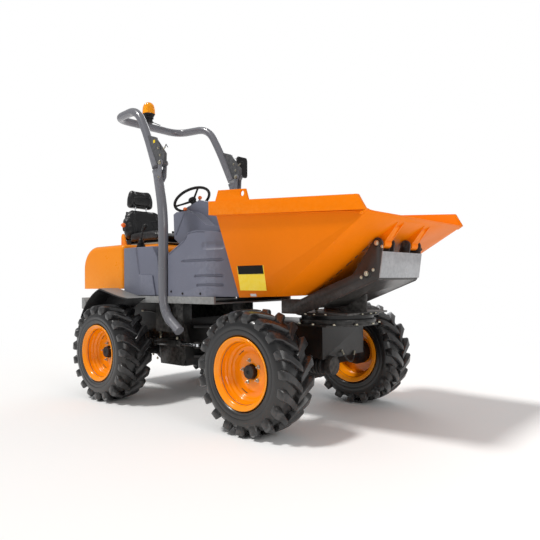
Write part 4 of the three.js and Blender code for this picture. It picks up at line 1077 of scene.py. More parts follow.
def makeRunningGear():
    motor = joined("front_drive_motor", [
        driveMotor("motor", Vector((frontHub.x + 0.09, -0.155, frontHub.z + 0.005)),
                   (1, 0, 0), 0.062, 0.20),
        swept("neck", [Vector((frontHub.x + 0.02, -0.155, frontHub.z)),
                       Vector((frontHub.x + 0.10, -0.155, frontHub.z))], 0.05, 28)])
    dress(motor, "front_chassis", "castIron", (), 40)
    motor = driveMotor("rear_drive_motor",
                       Vector((rearHub.x + 0.10, 0.05, rearHub.z + 0.005)), (1, 0, 0), 0.058, 0.17)
    dress(motor, "rear_chassis", "castIron", (), 40)
    for name, run in hoses.items():
        hose(name, run["body"], run["route"], run["radius"], run["bend"])


cylinders = {
    "tip": {"barrel": 0.036, "rod": 0.020, "start": 0.044, "length": 0.360, "eye": 0.030,
            "half": 0.012, "footBore": 0.019, "shown": 0.475},
    "steering": {"barrel": 0.030, "rod": 0.016, "start": 0.044, "length": 0.345, "eye": 0.024,
                 "half": 0.012, "footBore": 0.013, "shown": 0.346},
}


def makeCylinders():
    for key, rodSlide in (("tip", "tip_cylinder_stroke"), ("steering", "steering_cylinder_stroke")):
        c = cylinders[key]
        foot = jointAt(key + "_cylinder_swing")
        way = Vector(joints[rodSlide]["axis"]).normalized()
        pin = Vector(joints[key + "_cylinder_swing"]["axis"])
        low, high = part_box(key + "_cylinder_rod")
        if key == "tip":
            eye = foot + way * math.hypot(low.x + 0.025 - foot.x, low.z + 0.025 - foot.z)
        else:
            eye = Vector((high.x - 0.021, foot.y, foot.z))
        bore, wide, first, last = c["rod"] + 0.001, c["barrel"], c["start"], c["length"]
        groove = wide - 0.0012
        tube = [(bore, first + 0.002), (wide - 0.004, first), (wide, first + 0.005),
                (wide, last - 0.040), (groove, last - 0.038), (groove, last - 0.030),
                (wide, last - 0.028), (wide, last - 0.004), (wide - 0.004, last), (bore, last)]
        barrel = joined(key + "_barrel_parts", [
            turnedPiece("tube", tube, foot, way, 36),
            eyePlate("eye", foot, pin, c["barrel"] - 0.006, c["footBore"], c["half"]),
            swept("neck", [foot + way * (c["barrel"] - 0.012), foot + way * (c["start"] + 0.003)],
                  0.0115, 16)])
        dress(barrel, key + "_barrel", "chassisPaint",
              (key + "_cylinder_barrel",), 40)
        ports = [turnedPiece("port", [(0.0, 0.0), (0.011, 0.0), (0.011, 0.012), (0.008, 0.013),
                                      (0.008, 0.02), (0.0, 0.02)],
                             foot + way * d + Vector((0, 0, c["barrel"] - 0.003)), (0, 0, 1), 16,
                             closed=False) for d in (0.075, c["length"] - 0.055)]
        if key == "steering":
            dress(joined("steering_ports", ports), "steering_barrel", "zinc")
        else:
            for port in ports:
                bpy.data.objects.remove(port)
        reach = (eye - foot).length
        start = reach - c["shown"]
        rod = joined(key + "_rod_parts", [
            swept("rod", [foot + way * start, foot + way * (reach - c["start"])], c["rod"], 32),
            swept("boss", [foot + way * (reach - c["start"] - 0.001),
                           foot + way * (reach - c["start"] + 0.006),
                           foot + way * (reach - c["eye"] + 0.012)],
                  [c["rod"] - 0.002, c["rod"] - 0.003, 0.0112], 24),
            eyePlate("eye", eye, pin, c["rod"] + 0.005, 0.0125, c["half"])])
        dress(rod, key + "_rod", "rodChrome", (key + "_cylinder_rod",), 40)


def eyePlate(name, centre, axis, outer, inner, half):
    profile = [(outer, -half + 0.0015), (outer - 0.0015, -half), (inner, -half), (inner, half),
               (outer - 0.0015, half), (outer, half - 0.0015)]
    return turnedPiece(name, profile, centre, axis, 32)


makeSkip()
makeCradle()
print("skip and cradle ready")
makeChassis()
makeRunningGear()
makeCylinders()
print("chassis ready")


# Bodywork.

console = {
    "edge": 0.012, "faceY": 0.420, "slotDepth": 0.011, "slotRadius": 0.0130,
    "face": [(-0.27, 0.420), (0.16, 0.420), (0.23, 0.400), (0.30, 0.360), (0.36, 0.330)],
    # each slot: where it starts, where it ends, its height
    "slots": [(-0.112, 0.290, 1.085), (0.034, 0.290, 0.972), (0.056, 0.290, 0.906)],
    "badge": (0.118, 0.300, 1.190), "badgeHalf": 0.030, "badgeDepth": 0.009,
    "seam": [(-0.258, 1.142), (-0.080, 1.232), (-0.064, 1.246), (-0.040, 1.284), (-0.022, 1.292),
             (0.055, 1.296), (0.150, 1.289)],
    "seamRadius": 0.0055,
}


def faceLine(start, end, z, side, out):
    # Points along the console's side face, which turns in towards the skip.
    face = console["face"]
    line = []
    steps = 28
    for i in range(steps + 1):
        x = start + (end - start) * i / steps
        for (x0, y0), (x1, y1) in zip(face, face[1:]):
            if x0 <= x <= x1:
                y = y0 + (y1 - y0) * (x - x0) / (x1 - x0)
                lean = Vector((-(y1 - y0), x1 - x0)).normalized()
                break
        line.append(at(x + lean.x * out, side * (y + lean.y * out), z))
    return line


def makeConsole():
    c = console
    body = rounded(copyOf("front_console", "console_moulding"), c["edge"], 4)
    cutters = []
    for side in sides.values():
        out = c["slotRadius"] - c["slotDepth"]
        for start, end, z in c["slots"]:
            line = faceLine(start, end, z, side, out)
            radii = [c["slotRadius"] * min(1, 0.55 + 0.45 * min(i, len(line) - 1 - i) / 1.0)
                     for i in range(len(line))]
            cutters.append(swept("cutter", line, radii, 24))
        start, end, z = c["badge"]
        radius = (c["badgeHalf"] ** 2 + c["badgeDepth"] ** 2) / (2 * c["badgeDepth"])
        line = faceLine(start, end, z, side, radius - c["badgeDepth"])
        fall = [math.sqrt(max(0.0, 1 - (1 - min(1, min(i, len(line) - 1 - i) / 5)) ** 2))
                for i in range(len(line))]
        radii = [radius - c["badgeDepth"] * (1 - f) for f in fall]
        cutters.append(swept("cutter", line, radii, 64))
        seam = bentLine([at(x, side * c["faceY"], z) for x, z in c["seam"]], 0.02, 6)
        cutters.append(swept("cutter", seam, c["seamRadius"], 10))
    cutAway(body, cutters)
    dress(body, "rear_chassis", "greyMoulding", ("front_console",), 30)
    bolts = []
    for side in sides.values():
        for x, z in ((-0.235, 0.86), (0.10, 0.845), (-0.10, 0.845)):
            bolts.append((at(x, side * 0.4205, z), (0, side, 0)))
    dress(hexBolts("console_screws", bolts, 0.007), "rear_chassis", "blackMoulding")


dash = {
    "edge": 0.016, "gauge": 0.032, "centre": (-0.492, 1.430), "facing": (-1, 0, 0.15),
    # y of each gauge, and its share of the largest one's radius
    "gauges": ((-0.07, 1), (0.02, 0.8), (0.10, 0.6)),
    "flute": [(-0.445, 1.315), (-0.300, 1.540), (-0.250, 1.560)], "fluteY": 0.208,
    "fluteRadius": 0.014,
}


def makeDash():
    body = rounded(copyOf("dashboard", "dash_moulding"), dash["edge"], 5)
    hollows = []
    for side in sides.values():
        line = [at(x, side * dash["fluteY"], z) for x, z in dash["flute"]]
        hollows.append(swept("cutter", line, dash["fluteRadius"], 16))
    cutAway(body, hollows)
    dress(body, "rear_chassis", "greyMoulding", ("dashboard",), 30)
    # The gauges sit on the moulding where it faces the driver.
    x, z = dash["centre"]
    parts, dials = [], []
    for y, share in dash["gauges"]:
        radius = dash["gauge"] * share
        place = at(x, y, z)
        hit, spot = body.ray_cast(place - Vector((0.3, 0, 0)), Vector((1, 0, 0)))[:2]
        place = spot if hit else place
        inner = radius - 0.006
        bezel = [(radius, -0.002), (radius, 0.005), (radius - 0.003, 0.0075), (inner, 0.005),
                 (inner, -0.002)]
        parts.append(turnedPiece("bezel", bezel, place, dash["facing"], 32))
        dial = [(0.0, 0.0), (radius - 0.005, 0.0), (inner, 0.0035), (0.0, 0.0042)]
        dials.append(turnedPiece("dial", dial, place, dash["facing"], 28, closed=False))
    dress(joined("gauge_bezels", parts), "rear_chassis", "blackMoulding")
    dress(joined("gauge_faces", dials), "rear_chassis", "signBlack")


tank = {
    "edge": 0.009, "step": [(-0.655, 0.827), (-0.655, 0.991), (-0.482, 0.988), (-0.440, 0.827)],
    "stepY": (0.400, 0.4195), "stepEdge": 0.005,
}


def makeTanks():
    for side, way in sides.items():
        dress(rounded(copyOf("side_tank_" + side, "tank_cover_" + side), tank["edge"], 4),
              "rear_chassis", "greyMoulding", ("side_tank_" + side,), 30)
        low, high = sorted(way * y for y in tank["stepY"])
        dress(rounded(slab("tank_step_" + side, tank["step"], low, high), tank["stepEdge"], 3),
              "rear_chassis", "greyMoulding", (), 30)
    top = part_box("side_tank_left")[1].z
    cap = turnedPiece("filler_cap", [(0.0, 0.0), (0.050, 0.0), (0.050, 0.006), (0.044, 0.008),
                                     (0.044, 0.026), (0.040, 0.031), (0.030, 0.033), (0.0, 0.033)],
                      at(-0.70, 0.34, top), (0, 0, 1), 36, closed=False)
    dress(cap, "rear_chassis", "blackMoulding")


guard = {"reach": 0.530, "sheet": 0.005, "lip": 0.006, "inner": 0.4263, "outer": 0.600}


def guardLine(offset=0.0):
    # From low behind the wheel, over it, and down to the sill in front.
    reach = guard["reach"] - offset
    line = [(-0.79 + reach * math.cos(math.radians(a)), 0.38 + reach * math.sin(math.radians(a)))
            for a in range(176, 107, -4)]
    return line + [(-0.80, 0.850 - offset), (-0.672, 0.8225 - offset), (-0.560, 0.8080 - offset)]


def makeMudguards():
    for side, way in sides.items():
        g = guard
        outer, inner = guardLine(), guardLine(g["sheet"])
        low, high = sorted((way * g["inner"], way * g["outer"]))
        skin = slab("skin", outer + inner[::-1], low, high)
        wallLow, wallHigh = sorted((way * g["inner"], way * (g["inner"] + g["sheet"])))
        wall = slab("wall", outer, wallLow, wallHigh)
        lip = swept("lip", [at(x, way * (g["outer"] - 0.001), z) for x, z in guardLine(0.003)],
                    g["lip"], 10)
        made = joined("wheel_arch_" + side,
                      [rounded(skin, 0.0015, 2), rounded(wall, 0.001, 1), lip])
        dress(made, "rear_chassis", "blackMoulding", ("rear_mudguard_" + side,))
        top = [(x, z + 0.0035) for x, z in guardLine()[-5:]]
        under = [(x, z + 0.0004) for x, z in guardLine()[-5:]]
        low, high = sorted((way * (g["inner"] - 0.004), way * (g["outer"] - 0.004)))
        dress(rounded(slab("arch_step_" + side, top + under[::-1], low, high), 0.001, 2),
              "rear_chassis", "sillPaint")


hood = {
    "half": 0.420, "frontHalf": 0.250, "rear": -1.535, "top": 1.258, "low": 0.880,
    "backFrom": -0.880, "frontFrom": -0.560, "corner": 0.042, "bow": 0.200, "sheet": 0.005,
    "lugY": 0.168, "lugHalf": 0.006, "lugCurl": 0.018, "lugEdge": 0.001,
    "slats": 9, "slatLow": 0.93, "slatPitch": 0.021, "slatHalf": 0.21,
    # (x, height above the slat's foot)
    "slat": [(-1.5365, 0), (-1.5365, 0.009), (-1.531, 0.013), (-1.531, 0.004)],
}


def makeHood():
    h = hood
    bow = [(h["rear"] + h["bow"] + h["bow"] * math.cos(math.radians(a)),
            h["top"] - h["bow"] + h["bow"] * math.sin(math.radians(a))) for a in range(90, 181, 9)]
    below = h["low"] - 0.12
    back = slab("hood_cover", [(h["backFrom"], below), (h["backFrom"], h["top"])] + bow
                + [(h["rear"], below)], -h["half"], h["half"])
    front = slab("front", [(h["frontFrom"], below), (h["frontFrom"], h["top"] - 0.06),
                           (h["frontFrom"] - 0.08, h["top"]), (h["backFrom"] - 0.02, h["top"]),
                           (h["backFrom"] - 0.02, below)], -h["frontHalf"], h["frontHalf"])
    add = back.modifiers.new("add", "BOOLEAN")
    add.operation = "UNION"
    add.object = front
    settle(back)
    bpy.data.objects.remove(front)
    shape = bmesh.new()
    shape.from_mesh(back.data)
    bmesh.ops.dissolve_limit(shape, angle_limit=math.radians(0.5), verts=shape.verts,
                             edges=shape.edges)
    shape.to_mesh(back.data)
    shape.free()
    rounded(back, h["corner"], 6, 35)
    shape = bmesh.new()
    shape.from_mesh(back.data)
    every = list(shape.verts) + list(shape.edges) + list(shape.faces)
    bmesh.ops.bisect_plane(shape, geom=every, plane_co=(0, 0, h["low"]), plane_no=(0, 0, 1),
                           clear_inner=True)
    shape.to_mesh(back.data)
    shape.free()
    thick = back.modifiers.new("thick", "SOLIDIFY")
    thick.thickness = h["sheet"]
    thick.offset = -1
    settle(back)
    hinge = jointAt("hood_tilt")
    lugs = []
    for way in sides.values():
        y = way * h["lugY"]
        rear = h["rear"] + 0.003
        curl = [(hinge.x - midAxle + h["lugCurl"] * math.cos(math.radians(a)),
                 hinge.z + h["lugCurl"] * math.sin(math.radians(a))) for a in range(250, 431, 20)]
        outline = [(rear, h["low"] + 0.010), *curl, (rear, h["low"] + 0.060)]
        lugs.append(rounded(slab("lug", outline, y - h["lugHalf"], y + h["lugHalf"]),
                            h["lugEdge"], 2))
    made = joined("engine_cover", [back, *lugs])
    dress(made, "hood", "hoodPaint", ("engine_hood",), 30)
    slats = []
    for i in range(h["slats"]):
        z = h["slatLow"] + h["slatPitch"] * i
        outline = [(x, z + rise) for x, rise in h["slat"]]
        slats.append(rounded(slab("slat", outline, -h["slatHalf"], h["slatHalf"]), 0.001, 2))
    dress(joined("radiator_slats", slats), "hood", "blackMoulding")


makeConsole()
makeDash()
makeTanks()
makeMudguards()
makeHood()
print("bodywork ready")


# Roll bar, beacon and mirror.

rollBar = {
    "legRadius": 0.038, "hoopRadius": 0.034, "legBend": 0.170, "hoopBend": 0.130,
    "leg": [(-0.135, 0.424, 0.564), (-0.330, 0.424, 0.700), (-0.322, 0.424, 1.480),
            (-0.405, 0.4145, 1.815)],
    "hoop": [(-0.418, 0.4145, 1.839), (-0.560, 0.400, 2.140), (-0.700, 0.394, 2.368),
             (-1.085, 0.345, 2.380)],
    "foldY": 0.4145, "sectors": 32,
    "label": {"centre": (-0.426, 2.046), "half": 0.012, "stands": 0.0146, "sheet": 0.0004},
}


def sideCurve(x, z, radius, start, end, steps):
    return [(x + radius * math.cos(math.radians(start + (end - start) * i / steps)),
             z + radius * math.sin(math.radians(start + (end - start) * i / steps)))
            for i in range(steps + 1)]


def makeRollBar():
    r = rollBar
    fold = jointAt("roll_bar_fold")
    foldX, foldZ = fold.x - midAxle, fold.z
    topZ = r["leg"][-1][2]
    for side, way in sides.items():
        y = way * r["foldY"]
        line = bentLine([at(x, way * dy, z) for x, dy, z in r["leg"]], r["legBend"], 12)
        parts = [swept("tube", line, r["legRadius"], r["sectors"])]
        ear = [(-0.400, topZ - 0.150), (foldX + 0.005, foldZ - 0.110)]
        ear += sideCurve(foldX, foldZ, 0.026, -60, 150, 12)
        ear += [(foldX - 0.030, foldZ - 0.040), (-0.410, topZ - 0.040)]
        for shift in (-0.024, 0.024):
            parts.append(rounded(slab("ear", ear, y + shift - 0.005, y + shift + 0.005), 0.0012, 2))
        end = line[-1]
        way2 = (line[-1] - line[-2]).normalized()
        parts.append(swept("cap", [end - way2 * 0.02, end - way2 * 0.014, end - way2 * 0.002],
                           [r["legRadius"], r["legRadius"] + 0.003, r["legRadius"] + 0.003], 32))
        dress(joined("leg_tube_" + side, parts), "rear_chassis", "rollBarPaint",
              ("roll_bar_leg_" + side,), 40)
        pin = swept("pin", [Vector((fold.x, y - 0.034, foldZ)), Vector((fold.x, y + 0.034, foldZ))],
                    0.0088, 20)
        heads = hexBolts("heads", [(Vector((fold.x, y + s * 0.0325, foldZ)), (0, s, 0))
                                   for s in (-1, 1)], 0.0125)
        lock = [at(-0.372, 0, 1.735), at(-0.352, 0, 1.752)]
        bolts = hexBolts("bolts", [(Vector((p.x, y + s * 0.029, p.z)), (0, s, 0))
                                   for p in lock for s in (-1, 1)], 0.007)
        dress(joined("fold_pin_" + side, [pin, heads, bolts]), "rear_chassis", "zinc")
    line = [(x, y, z) for x, y, z in r["hoop"]] + [(x, -y, z) for x, y, z in r["hoop"][::-1]]
    path = bentLine([at(*p) for p in line], r["hoopBend"], 12)
    hoop = swept("hoop_tube", path, r["hoopRadius"], r["sectors"])
    dress(hoop, "roll_bar", "rollBarPaint", ("roll_bar_hoop",), 40)
    parts = []
    plateLine = [(-0.505, 2.110), (-0.430, 2.085), (-0.300, 1.935)]
    plateLine += sideCurve(foldX, foldZ, 0.030, 20, -110, 12)
    plateLine += [(-0.365, foldZ - 0.008), (-0.440, 1.900)]
    for way in sides.values():
        y = way * r["foldY"]
        plate = rounded(slab("plate", plateLine, y - 0.014, y + 0.014), 0.0015, 2)
        hole = swept("hole", [Vector((fold.x, y - 0.02, foldZ)), Vector((fold.x, y + 0.02, foldZ))],
                     0.0099, 20)
        cutAway(plate, [hole])
        parts.append(plate)
        for x, z in ((-0.405, 1.93), (-0.388, 2.03)):
            low, high = at(x - 0.022, y + 0.012, z), at(x - 0.032, y + 0.012, z + 0.05)
            parts.append(weldBead("bead", low, high, 0.003))
    parts.append(rounded(slab("stay", [(-1.105, 2.380), (-1.065, 2.380), (-1.065, 2.4215),
                                       (-1.105, 2.4215)], -0.02, 0.02), 0.002, 2))
    dress(joined("fold_plates", parts), "roll_bar", "hingePaint", (), 40)
    makeFoldFittings()


foldFittings = {
    # x and z of the two bolts on each face of the plate
    "bolts": [(-0.375, 1.985), (-0.352, 1.925)], "bolt": 0.0075, "face": 0.0142,
    "pin": (-0.338, 1.957), "pinLine": [(-0.02, -0.02), (0.016, 0.016), (0.034, 0.026)],
    "pinRadius": 0.0055,
    # (x, out from the plate's middle, z)
    "grip": [(-0.312, 0, 1.974), (-0.292, 0, 2.004), (-0.277, 0.01, 1.994), (-0.270, 0, 1.974)],
    "gripRadius": 0.0032, "gripBend": 0.012,
    "strap": [(-0.385, 0.016, 2.045), (-0.350, 0.019, 2.020), (-0.335, 0.019, 1.985),
              (-0.345, 0.017, 1.965)],
    "strapRadius": 0.002, "strapBend": 0.02,
}


def makeFoldFittings():
    # The bolts, the spring pin with its ring handle, and the pin's strap on each hinge plate.
    f = foldFittings
    pins, grips = [], []
    for way in sides.values():
        y = way * rollBar["foldY"]
        for s in (-1, 1):
            face = y + s * f["face"]
            pins.append(hexBolts("bolt", [(at(x, face, z), (0, s, 0)) for x, z in f["bolts"]],
                                 f["bolt"]))
        x, z = f["pin"]
        handle = at(x, y, z)
        line = [handle + Vector((dx, 0, dz)) for dx, dz in f["pinLine"]]
        pins.append(swept("pin", line, f["pinRadius"], 12))
        line = bentLine([at(x, y + way * out, z) for x, out, z in f["grip"]], f["gripBend"], 6)
        grips.append(swept("grip", line, f["gripRadius"], 8))
        line = bentLine([at(x, y + way * out, z) for x, out, z in f["strap"]], f["strapBend"], 6)
        grips.append(swept("lanyard", line, f["strapRadius"], 8))
    label = rollBar["label"]
    x, z = label["centre"]
    half = label["half"]
    out = -rollBar["foldY"] - label["stands"]
    note = slab("fold_label", [(x - half, z - half), (x + half, z - half), (x + half, z + half),
                               (x - half, z + half)], out, out + label["sheet"])
    dress(note, "roll_bar", "signYellow")
    dress(joined("fold_lock_pins", pins), "roll_bar", "zinc")
    dress(joined("fold_lanyards", grips), "roll_bar", "blackMoulding")


beacon = {
    "ribs": 24, "ribDepth": 0.0011, "ribbed": (0.1, 0.88), "cableRadius": 0.0035,
    "cable": [(-1.085, 0.028, 2.432), (-1.085, 0.060, 2.432), (-1.085, 0.085, 2.428),
              (-1.085, 0.130, 2.4235)],
    # (radius, share of the height)
    "dome": [(0.0590, 0.0), (0.0600, 0.06), (0.0572, 0.11), (0.0566, 0.32), (0.0545, 0.50),
             (0.0502, 0.66), (0.0430, 0.80), (0.0335, 0.90), (0.0205, 0.97), (0.0080, 1.0)],
}


def makeBeacon():
    low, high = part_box("beacon_base")
    centre = (low + high) / 2
    foot = Vector((centre.x, 0, low.z))
    tall = high.z - low.z
    base = turnedPiece("beacon_foot", [(0.0, 0.0), (0.040, 0.0), (0.042, 0.006), (0.034, 0.010),
                                       (0.034, tall * 0.40), (0.044, tall * 0.46),
                                       (0.044, tall * 0.62), (0.040, tall * 0.66),
                                       (0.045, tall * 0.72), (0.052, tall - 0.010),
                                       (0.056, tall - 0.004), (0.056, tall), (0.0, tall)],
                       foot, (0, 0, 1), 40, closed=False)
    dress(base, "roll_bar", "blackMoulding", ("beacon_base",), 40)
    low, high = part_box("beacon_lens")
    tall = high.z - low.z
    points, faces = [], []
    around = beacon["ribs"] * 4
    first, last = beacon["ribbed"]
    for radius, share in beacon["dome"]:
        for k in range(around):
            turn = math.tau * k / around
            swell = 0
            if first < share < last:
                swell = beacon["ribDepth"] * math.cos(beacon["ribs"] * turn)
            points.append((centre.x + (radius + swell) * math.cos(turn),
                           (radius + swell) * math.sin(turn), low.z + tall * share))
    for i in range(len(beacon["dome"]) - 1):
        for k in range(around):
            a, b, n = i * around, (i + 1) * around, (k + 1) % around
            faces.append((a + k, a + n, b + n, b + k))
    faces.append(tuple(range(around)))
    faces.append(tuple((len(beacon["dome"]) - 1) * around + k for k in range(around)))
    dress(meshOf("beacon_dome", points, faces), "roll_bar", "amberLens",
          ("beacon_lens",), 60)
    cable = bentLine([at(*p) for p in beacon["cable"]], 0.02, 6)
    dress(swept("beacon_cable", cable, beacon["cableRadius"], 10), "roll_bar", "hoseRubber")


mirror = {
    # (x, y from the arm's outer end, z)
    "arm": [(-0.385, 0, 1.975), (-0.385, 0.030, 1.975), (-0.385, 0.050, 1.975)],
    "armRadius": 0.007, "inner": 0.022,
    # (y, z) round the head and its glass, y from the inner edge
    "head": [(0.012, 1.882), (0.118, 1.882), (0.128, 1.900), (0.130, 2.040), (0.118, 2.068),
             (0.012, 2.068), (0.002, 2.050), (0.0, 1.900)],
    "headX": (-0.398, -0.372), "headEdge": 0.008,
    "glass": [(0.014, 1.898), (0.116, 1.898), (0.118, 2.038), (0.108, 2.054), (0.016, 2.054),
              (0.012, 2.038)],
    "glassX": (-0.3995, -0.3975), "glassEdge": 0.0006,
}


def makeMirror():
    m = mirror
    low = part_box("mirror")[0]
    arm = [at(x, low.y + y, z) for x, y, z in m["arm"]]
    inner = low.y + m["inner"]
    head = slab("head", [(inner + y, z) for y, z in m["head"]], *m["headX"], "x")
    head = rounded(head, m["headEdge"], 4, 30)
    face = slab("mirror_glass", [(inner + y, z) for y, z in m["glass"]], *m["glassX"], "x")
    face = rounded(face, m["glassEdge"], 1)
    dress(joined("mirror_head", [head, swept("arm", arm, m["armRadius"], 14)]), "roll_bar",
          "blackMoulding", ("mirror",))
    dress(face, "roll_bar", "rodChrome")


makeRollBar()
makeBeacon()
makeMirror()
print("roll bar ready")


# The seat: stuffed forms that start as shaped blocks and are blown up as cloth.

padding = {"voxel": 0.006, "pressure": 4.0, "frames": 20,
           "rounding": {"cushion": 0.020, "back": 0.030, "headrest": 0.036}}
seat = {
    "cushion": [(-1.076, 1.300), (-1.076, 1.370), (-0.684, 1.374), (-0.650, 1.352),
                (-0.654, 1.316), (-0.700, 1.300)],
    "back": [(-1.170, 1.326), (-1.102, 1.326), (-1.102, 1.392), (-1.150, 1.611), (-1.230, 1.611)],
    "headrest": [(-1.278, 1.626), (-1.198, 1.626), (-1.194, 1.705), (-1.202, 1.794),
                 (-1.270, 1.800)],
    "half": {"cushion": 0.226, "back": 0.228, "headrest": 0.133},
    "bolster": (0.120, 0.168), "bolsterRise": 0.026, "seam": 0.0052, "seamWidth": 0.0050,
    "shell": [(-1.250, 1.590), (-1.240, 1.590), (-1.180, 1.320), (-1.189, 1.320)],
    "shellBend": 1.45, "shellTaper": 0.72,
}


def ease(value, low, high):
    t = min(1.0, max(0.0, (value - low) / (high - low)))
    return t * t * (3 - 2 * t)


def swell(pad, cap):
    # Pressure inside a closed cloth skin, with how far each point may move kept small.
    still = [vertex.co.copy() for vertex in pad.data.vertices]
    cloth = pad.modifiers.new("cloth", "CLOTH")
    cloth.settings.quality = 5
    cloth.settings.mass = 0.3
    cloth.settings.use_pressure = True
    cloth.settings.uniform_pressure_force = padding["pressure"]
    cloth.settings.effector_weights.gravity = 0
    cloth.point_cache.frame_end = padding["frames"]
    scene = bpy.context.scene
    for step in range(1, padding["frames"] + 1):
        scene.frame_set(step)
    graph = bpy.context.evaluated_depsgraph_get()
    blown = [vertex.co.copy() for vertex in pad.evaluated_get(graph).data.vertices]
    pad.modifiers.clear()
    scene.frame_set(1)
    for vertex, place, goal in zip(pad.data.vertices, still, blown):
        move = goal - place
        if move.length > 1e-6:
            move *= cap * (1 - math.exp(-move.length / cap)) / move.length
        vertex.co = place + move


def sewn(pad, facing, depthAt):
    # Draws the cover in along its seams, on the faces that look the given way.
    facing = Vector(facing).normalized()
    normals = [vertex.normal.copy() for vertex in pad.data.vertices]
    for vertex, normal in zip(pad.data.vertices, normals):
        turned = ease(normal.dot(facing), 0.1, 0.5)
        place = Vector((vertex.co.x - midAxle, vertex.co.y, vertex.co.z))
        vertex.co -= normal * (depthAt(place) * turned)


def seamDepth(*distances):
    width = seat["seamWidth"]
    return seat["seam"] * max(math.exp(-(d / width) ** 2) for d in distances)


def padForm(name, key, lift, cap):
    half = seat["half"][key]
    pad = rounded(slab(name, seat[key], -half, half), padding["rounding"][key], 5)
    remesh = pad.modifiers.new("remesh", "REMESH")
    remesh.mode = "VOXEL"
    remesh.voxel_size = padding["voxel"]
    settle(pad)
    for vertex in pad.data.vertices:
        place = Vector((vertex.co.x - midAxle, vertex.co.y, vertex.co.z))
        vertex.co += Vector(lift(place))
    swell(pad, cap)
    smooth = pad.modifiers.new("smooth", "SMOOTH")
    smooth.factor = 0.5
    smooth.iterations = 4
    divide = pad.modifiers.new("divide", "SUBSURF")
    divide.levels = 1
    return settle(pad)


def cushionLift(p):
    low, high = seat["bolster"]
    middle = 1 - ease(abs(p.y), low, high)
    top = ease(p.z, 1.315, 1.365)
    front = ease(p.x, -0.80, -0.66)
    return (0, 0, -top * (seat["bolsterRise"] * 0.75 * middle * (1 - 0.4 * front) + 0.012 * front))


def backLift(p):
    low, high = seat["bolster"]
    middle = 1 - ease(abs(p.y), low, high)
    rise = ease(p.z, 1.40, 1.59)
    front = ease(p.x, -1.165 - 0.048 * rise, -1.115 - 0.048 * rise)
    lumbar = 0.012 * math.exp(-((p.z - 1.430) / 0.050) ** 2)
    shoulder = -p.y * 0.16 * ease(p.z, 1.47, 1.60)
    waist = -p.y * 0.06 * ease(1.40 - p.z, 0, 0.08)
    crown = -0.045 * ease(abs(p.y), 0.13, 0.23) * ease(p.z, 1.48, 1.60)
    return (-front * middle * (seat["bolsterRise"] - lumbar), shoulder + waist, crown)


def headrestLift(p):
    front = ease(p.x, -1.240, -1.200)
    middle = 1 - ease(abs(p.y), 0.05, 0.115)
    return (-front * 0.010 * middle, -p.y * 0.14 * ease(p.z, 1.70, 1.80), 0)


def cushionSeams(p):
    side = abs(abs(p.y) - 0.146)
    inside = 0.05 if abs(p.y) > 0.146 else 0.0
    return seamDepth(side, inside + abs(p.x + 0.950), inside + abs(p.x + 0.830),
                     abs(p.x + 0.700))


def backSeams(p):
    side = abs(abs(p.y) - 0.146) + (0 if p.z < 1.565 else 0.05)
    inside = 0.05 if abs(p.y) > 0.146 else 0.0
    below = max(0.0, 1.505 - p.z)
    curve = abs(abs(p.y) - 0.062 - 3.0 * below * below) + (0 if p.z < 1.505 else 0.05)
    return seamDepth(side, inside + abs(p.z - 1.505), inside + curve,
                     inside + abs(p.z - 1.365))


def headrestSeams(p):
    border = ((p.y / 0.098) ** 4 + ((p.z - 1.712) / 0.062) ** 4) ** 0.25
    inner = abs(p.z - 1.735 + 2.2 * p.y * p.y) + (0 if border < 1 else 0.05)
    return seamDepth(abs(border - 1) * 0.062, inner)


seatFittings = {
    "posts": (-1.222, 0.06, 1.592, 1.640), "postRadius": 0.0065,
    "shellHalf": 0.205, "shellEdge": 0.004, "baseEdge": 0.007,
    "rail": [(-1.080, 1.2588), (-0.640, 1.2588), (-0.640, 1.276), (-1.080, 1.276)],
    "railY": (0.184, 0.206), "railEdge": 0.003,
    "handle": [(-0.690, -0.120, 1.276), (-0.652, -0.120, 1.272), (-0.652, 0.120, 1.272),
               (-0.690, 0.120, 1.276)], "handleRadius": 0.005,
    "bracket": [(-1.085, 1.2588), (-1.085, 1.338), (-1.074, 1.360), (-1.056, 1.364),
                (-1.042, 1.350), (-1.010, 1.2588)], "bracketY": (-0.306, -0.290),
    "recliner": [(-1.150, -0.236, 1.402), (-1.120, -0.262, 1.420), (-1.066, -0.292, 1.440)],
    "reclinerRadius": 0.006, "reclinerKnob": (-1.063, -0.296, 1.442), "knob": 0.021,
    "buckle": [(-1.060, 1.372), (-1.042, 1.376), (-1.054, 1.424), (-1.072, 1.420)],
    "buckleY": (0.243, 0.259), "fittingEdge": 0.004,
    "stalk": [(-1.055, 0.214, 1.2650), (-1.053, 0.250, 1.320), (-1.054, 0.251, 1.376)],
    "stalkRadius": 0.0045, "bend": 0.02,
}


